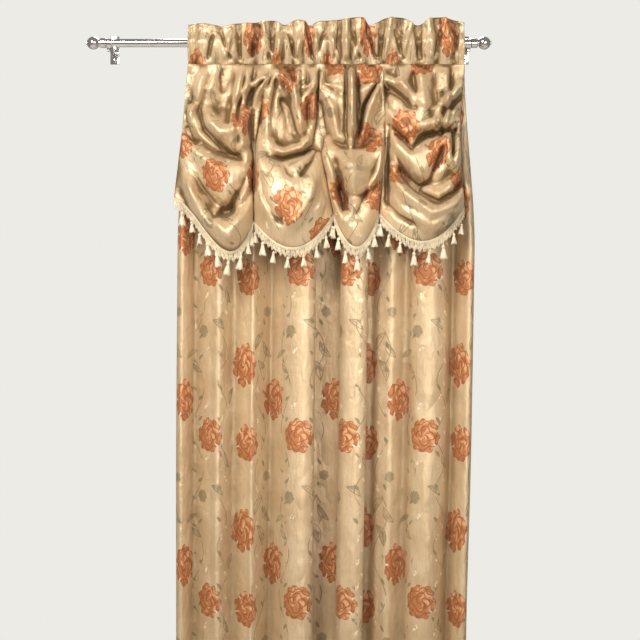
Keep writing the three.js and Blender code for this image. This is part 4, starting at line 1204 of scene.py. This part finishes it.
def metal_piece(name, bm, material):
    bmesh.ops.recalc_face_normals(bm, faces=bm.faces)
    bmesh.ops.scale(bm, vec=(MM, MM, MM), verts=bm.verts)
    mesh = mesh_from(bm, name)
    smooth(mesh)
    mesh.set_sharp_from_angle(angle=math.radians(SHARP_FROM))
    return new_object(name, mesh, material)


def ball_outline():
    first = math.asin(FINIAL_NECK / BALL_RADIUS)
    last = math.pi - math.asin(FINIAL_TIP / BALL_RADIUS)
    centre = 14.5 + BALL_RADIUS * math.cos(first)
    angles = np.linspace(first, last, 22)
    ball = [(BALL_RADIUS * math.sin(a), centre - BALL_RADIUS * math.cos(a)) for a in angles]
    tip = centre + BALL_RADIUS + 1.5
    return FINIAL_OUTLINE + ball + [(FINIAL_TIP, tip - 0.6), (FINIAL_TIP - 0.7, tip), (0, tip)]


class CurtainRod(bpy.types.Operator):
    """Makes the rod and its ball ends"""

    bl_idname = "curtain.rod"
    bl_label = "Rod and ball ends"

    def execute(self, context):
        nickel = finish("bright_nickel", context.scene.curtain)
        low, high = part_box("rod")
        start, end = low[0] / MM, high[0] / MM
        length = end - start
        end_radius = ROD_RADIUS - ROD_EDGE
        outline = [(0, 0), (end_radius, 0), (ROD_RADIUS, ROD_EDGE)]
        outline += [(ROD_RADIUS, length - ROD_EDGE), (end_radius, length), (0, length)]
        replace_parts(turned("rod_tube", outline, start, 1, nickel), "rod")
        for name, side, edge in (("finial_right", 1, 0), ("finial_left", -1, 1)):
            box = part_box(name)
            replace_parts(turned(f"{name}_ball", ball_outline(), box[edge][0] / MM, side, nickel), name)
        return {"FINISHED"}


PLATE = (18, 3, 56)
ARM = (6, 12)
CUP_INNER = 8.3
CUP_OUTER = 11.3
CUP_WIDTH = 9
SCREW_OUTLINE = [
    (0, -16.6), (3.4, -16.6), (4, -16.1), (4, -12.1), (3.5, -11.6), (2, -11.6), (2, -8.3), (0, -8.3),
]
KNURLS = 12
KNURL_DEPTH = 0.07
SCREW_HEAD = 4
SCREWS_AT = (20, -20)


def block(bm, size, middle, bevel):
    made = bmesh.ops.create_cube(bm, size=1)["verts"]
    bmesh.ops.scale(bm, vec=size, verts=made)
    bmesh.ops.translate(bm, vec=middle, verts=made)
    edges = list({edge for vert in made for edge in vert.link_edges})
    bmesh.ops.bevel(
        bm, geom=edges, offset=bevel, offset_type="OFFSET", segments=2,
        profile=0.5, affect="EDGES", material=-1,
    )


def bracket(name, x, material):
    """A wall bracket: its plate with two screws, its arm and the cup that the rod lies in."""
    bm = bmesh.new()
    block(bm, PLATE, (x, -PLATE[1] / 2, 0), 0.8)
    reach = -ROD_Y - CUP_INNER - 1 - PLATE[1] / 2
    block(bm, (ARM[0], reach, ARM[1]), (x, -PLATE[1] / 2 - reach / 2, -ARM[1] / 2), 0.6)
    half = CUP_WIDTH / 2
    ring = [(CUP_INNER, -half), (CUP_OUTER, -half), (CUP_OUTER, half), (CUP_INNER, half)]
    corners = [bm.verts.new((x + along, ROD_Y + radius, 0)) for radius, along in ring]
    face = bm.faces.new(corners)
    whole = [face] + corners + list(face.edges)
    bmesh.ops.spin(bm, geom=whole, cent=(x, ROD_Y, 0), axis=(1, 0, 0), angle=-math.pi, steps=ROUND_STEPS // 2)
    for z in SCREWS_AT:
        head = bmesh.ops.create_uvsphere(bm, u_segments=20, v_segments=10, radius=SCREW_HEAD)["verts"]
        bmesh.ops.scale(bm, vec=(1, 0.35, 1), verts=head)
        bmesh.ops.translate(bm, vec=(x, -PLATE[1], z), verts=head)
    return metal_piece(name, bm, material)


def clamp_screw(name, x, material):
    """The thumb screw under a cup, with a knurled head."""
    bm = bmesh.new()
    line = [(x + radius, ROD_Y, z) for radius, z in SCREW_OUTLINE]
    turned_round(bm, line, (x, ROD_Y, 0), (0, 0, 1), 4 * KNURLS, 0.001)
    for vert in bm.verts:
        across, deep = vert.co.x - x, vert.co.y - ROD_Y
        if math.hypot(across, deep) > SCREW_HEAD - 0.1:
            inward = 1 - KNURL_DEPTH * (0.5 - 0.5 * math.cos(KNURLS * math.atan2(deep, across)))
            vert.co = Vector((x + across * inward, ROD_Y + deep * inward, vert.co.z))
    return metal_piece(name, bm, material)


class CurtainBrackets(bpy.types.Operator):
    """Makes the wall brackets and their clamp screws"""

    bl_idname = "curtain.brackets"
    bl_label = "Brackets"

    def execute(self, context):
        nickel = finish("bright_nickel", context.scene.curtain)
        for end, x in (("right", 0), ("left", -BRACKET_SPAN)):
            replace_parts(bracket(f"bracket_{end}_metal", x, nickel), f"bracket_{end}")
            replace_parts(clamp_screw(f"clamp_screw_{end}_metal", x, nickel), f"clamp_screw_{end}")
        return {"FINISHED"}


# The photograph's view: its frame is 1.248 m wide at the rod, which is 3 m from the camera.
VIEW = {"x": -0.289, "z": -0.540, "away": 3.0, "wide": 1.248}
SENSOR = 36
LIGHTS = table("name at towards size watts spread", [
    ("window_light", (-1.3, -2.2, 0.95), -0.3, 0.8, 86, 180),
    ("room_light", (1.1, -2.6, 0.2), -0.3, 1.1, 21, 180),
    ("panel_light", (0.1, -2.6, -0.6), -0.55, 0.9, 0.85, 24),
    ("wall_light", (-0.3, 2.4, 1.7), -0.3, 1.2, 75, 180),
])
LIGHT_COLOUR = (1, 0.98, 0.95)
LIGHT_AROUND = (0.27, 0.262, 0.25, 1)
BACKDROP = (0.84, 0.83, 0.79, 1)
FLOOR_SIZE = 6
FLOOR_GAP = 0.008


def plain_floor():
    bm = bmesh.new()
    bmesh.ops.create_grid(bm, x_segments=1, y_segments=1, size=FLOOR_SIZE / 2)
    bmesh.ops.translate(bm, vec=(0, 0, PANEL_HEM * MM - FLOOR_GAP), verts=bm.verts)
    mesh = mesh_from(bm, "floor")
    material, s, shader = new_material("floor_paint")
    place = s.node("ShaderNodeTexCoord").outputs["Object"]
    s.put(shader["Base Color"], s.colour(s.noise(place, 3.0), (0.74, 0.73, 0.70), (0.79, 0.78, 0.76)))
    shader["Roughness"].default_value = 0.7
    mesh.materials.append(material)
    put_in_scene("floor", mesh)


class CurtainStage(bpy.types.Operator):
    """Makes the floor, the soft lights and the camera at the photograph's angle"""

    bl_idname = "curtain.stage"
    bl_label = "Stage"

    def execute(self, context):
        scene = context.scene
        plain_floor()
        for row in LIGHTS:
            light = bpy.data.lights.new(row["name"], "AREA")
            light.size = row["size"]
            light.energy = row["watts"]
            light.color = LIGHT_COLOUR
            light.spread = math.radians(row["spread"])
            holder = put_in_scene(row["name"], light)
            holder.location = row["at"]
            aim = Vector((VIEW["x"], 0, row["towards"])) - Vector(row["at"])
            holder.rotation_euler = aim.to_track_quat("-Z", "Y").to_euler()
        world = bpy.data.worlds.new("studio")
        world.use_nodes = True
        s = Shading(world.node_tree)
        seen = s.node("ShaderNodeLightPath").outputs["Is Camera Ray"]
        s.put(world.node_tree.nodes["Background"].inputs["Color"], s.colour(seen, LIGHT_AROUND, BACKDROP))
        scene.view_settings.view_transform = "Standard"
        scene.world = world
        camera = bpy.data.cameras.new("camera")
        camera.sensor_width = SENSOR
        camera.lens = SENSOR * VIEW["away"] / VIEW["wide"]
        holder = put_in_scene("camera", camera)
        holder.location = (VIEW["x"], ROD_Y * MM - VIEW["away"], VIEW["z"])
        holder.rotation_euler = (math.pi / 2, 0, 0)
        scene.camera = holder
        return {"FINISHED"}


class CurtainSidebar(bpy.types.Panel):
    """Lists the curtain's pieces and finishes"""

    bl_idname = "VIEW3D_PT_curtain"
    bl_label = "Curtain"
    bl_space_type = "VIEW_3D"
    bl_region_type = "UI"
    bl_category = "Curtain"

    def draw(self, context):
        for name in CurtainSizes.__annotations__:
            self.layout.prop(context.scene.curtain, name)
        for piece in PIECES:
            self.layout.operator(piece.bl_idname)


PIECES = (CurtainPanel, CurtainValance, CurtainFringe, CurtainRod, CurtainBrackets, CurtainStage)
CLASSES = (CurtainSizes, *PIECES, CurtainSidebar)


def register():
    for cls in CLASSES:
        bpy.utils.register_class(cls)
    bpy.types.Scene.curtain = bpy.props.PointerProperty(type=CurtainSizes)


def unregister():
    del bpy.types.Scene.curtain
    for cls in reversed(CLASSES):
        bpy.utils.unregister_class(cls)


def main():
    register()
    bpy.ops.curtain.panel()
    bpy.ops.curtain.valance()
    bpy.ops.curtain.fringe()
    bpy.ops.curtain.rod()
    bpy.ops.curtain.brackets()
    bpy.ops.curtain.stage()


if __name__ == "__main__":
    main()
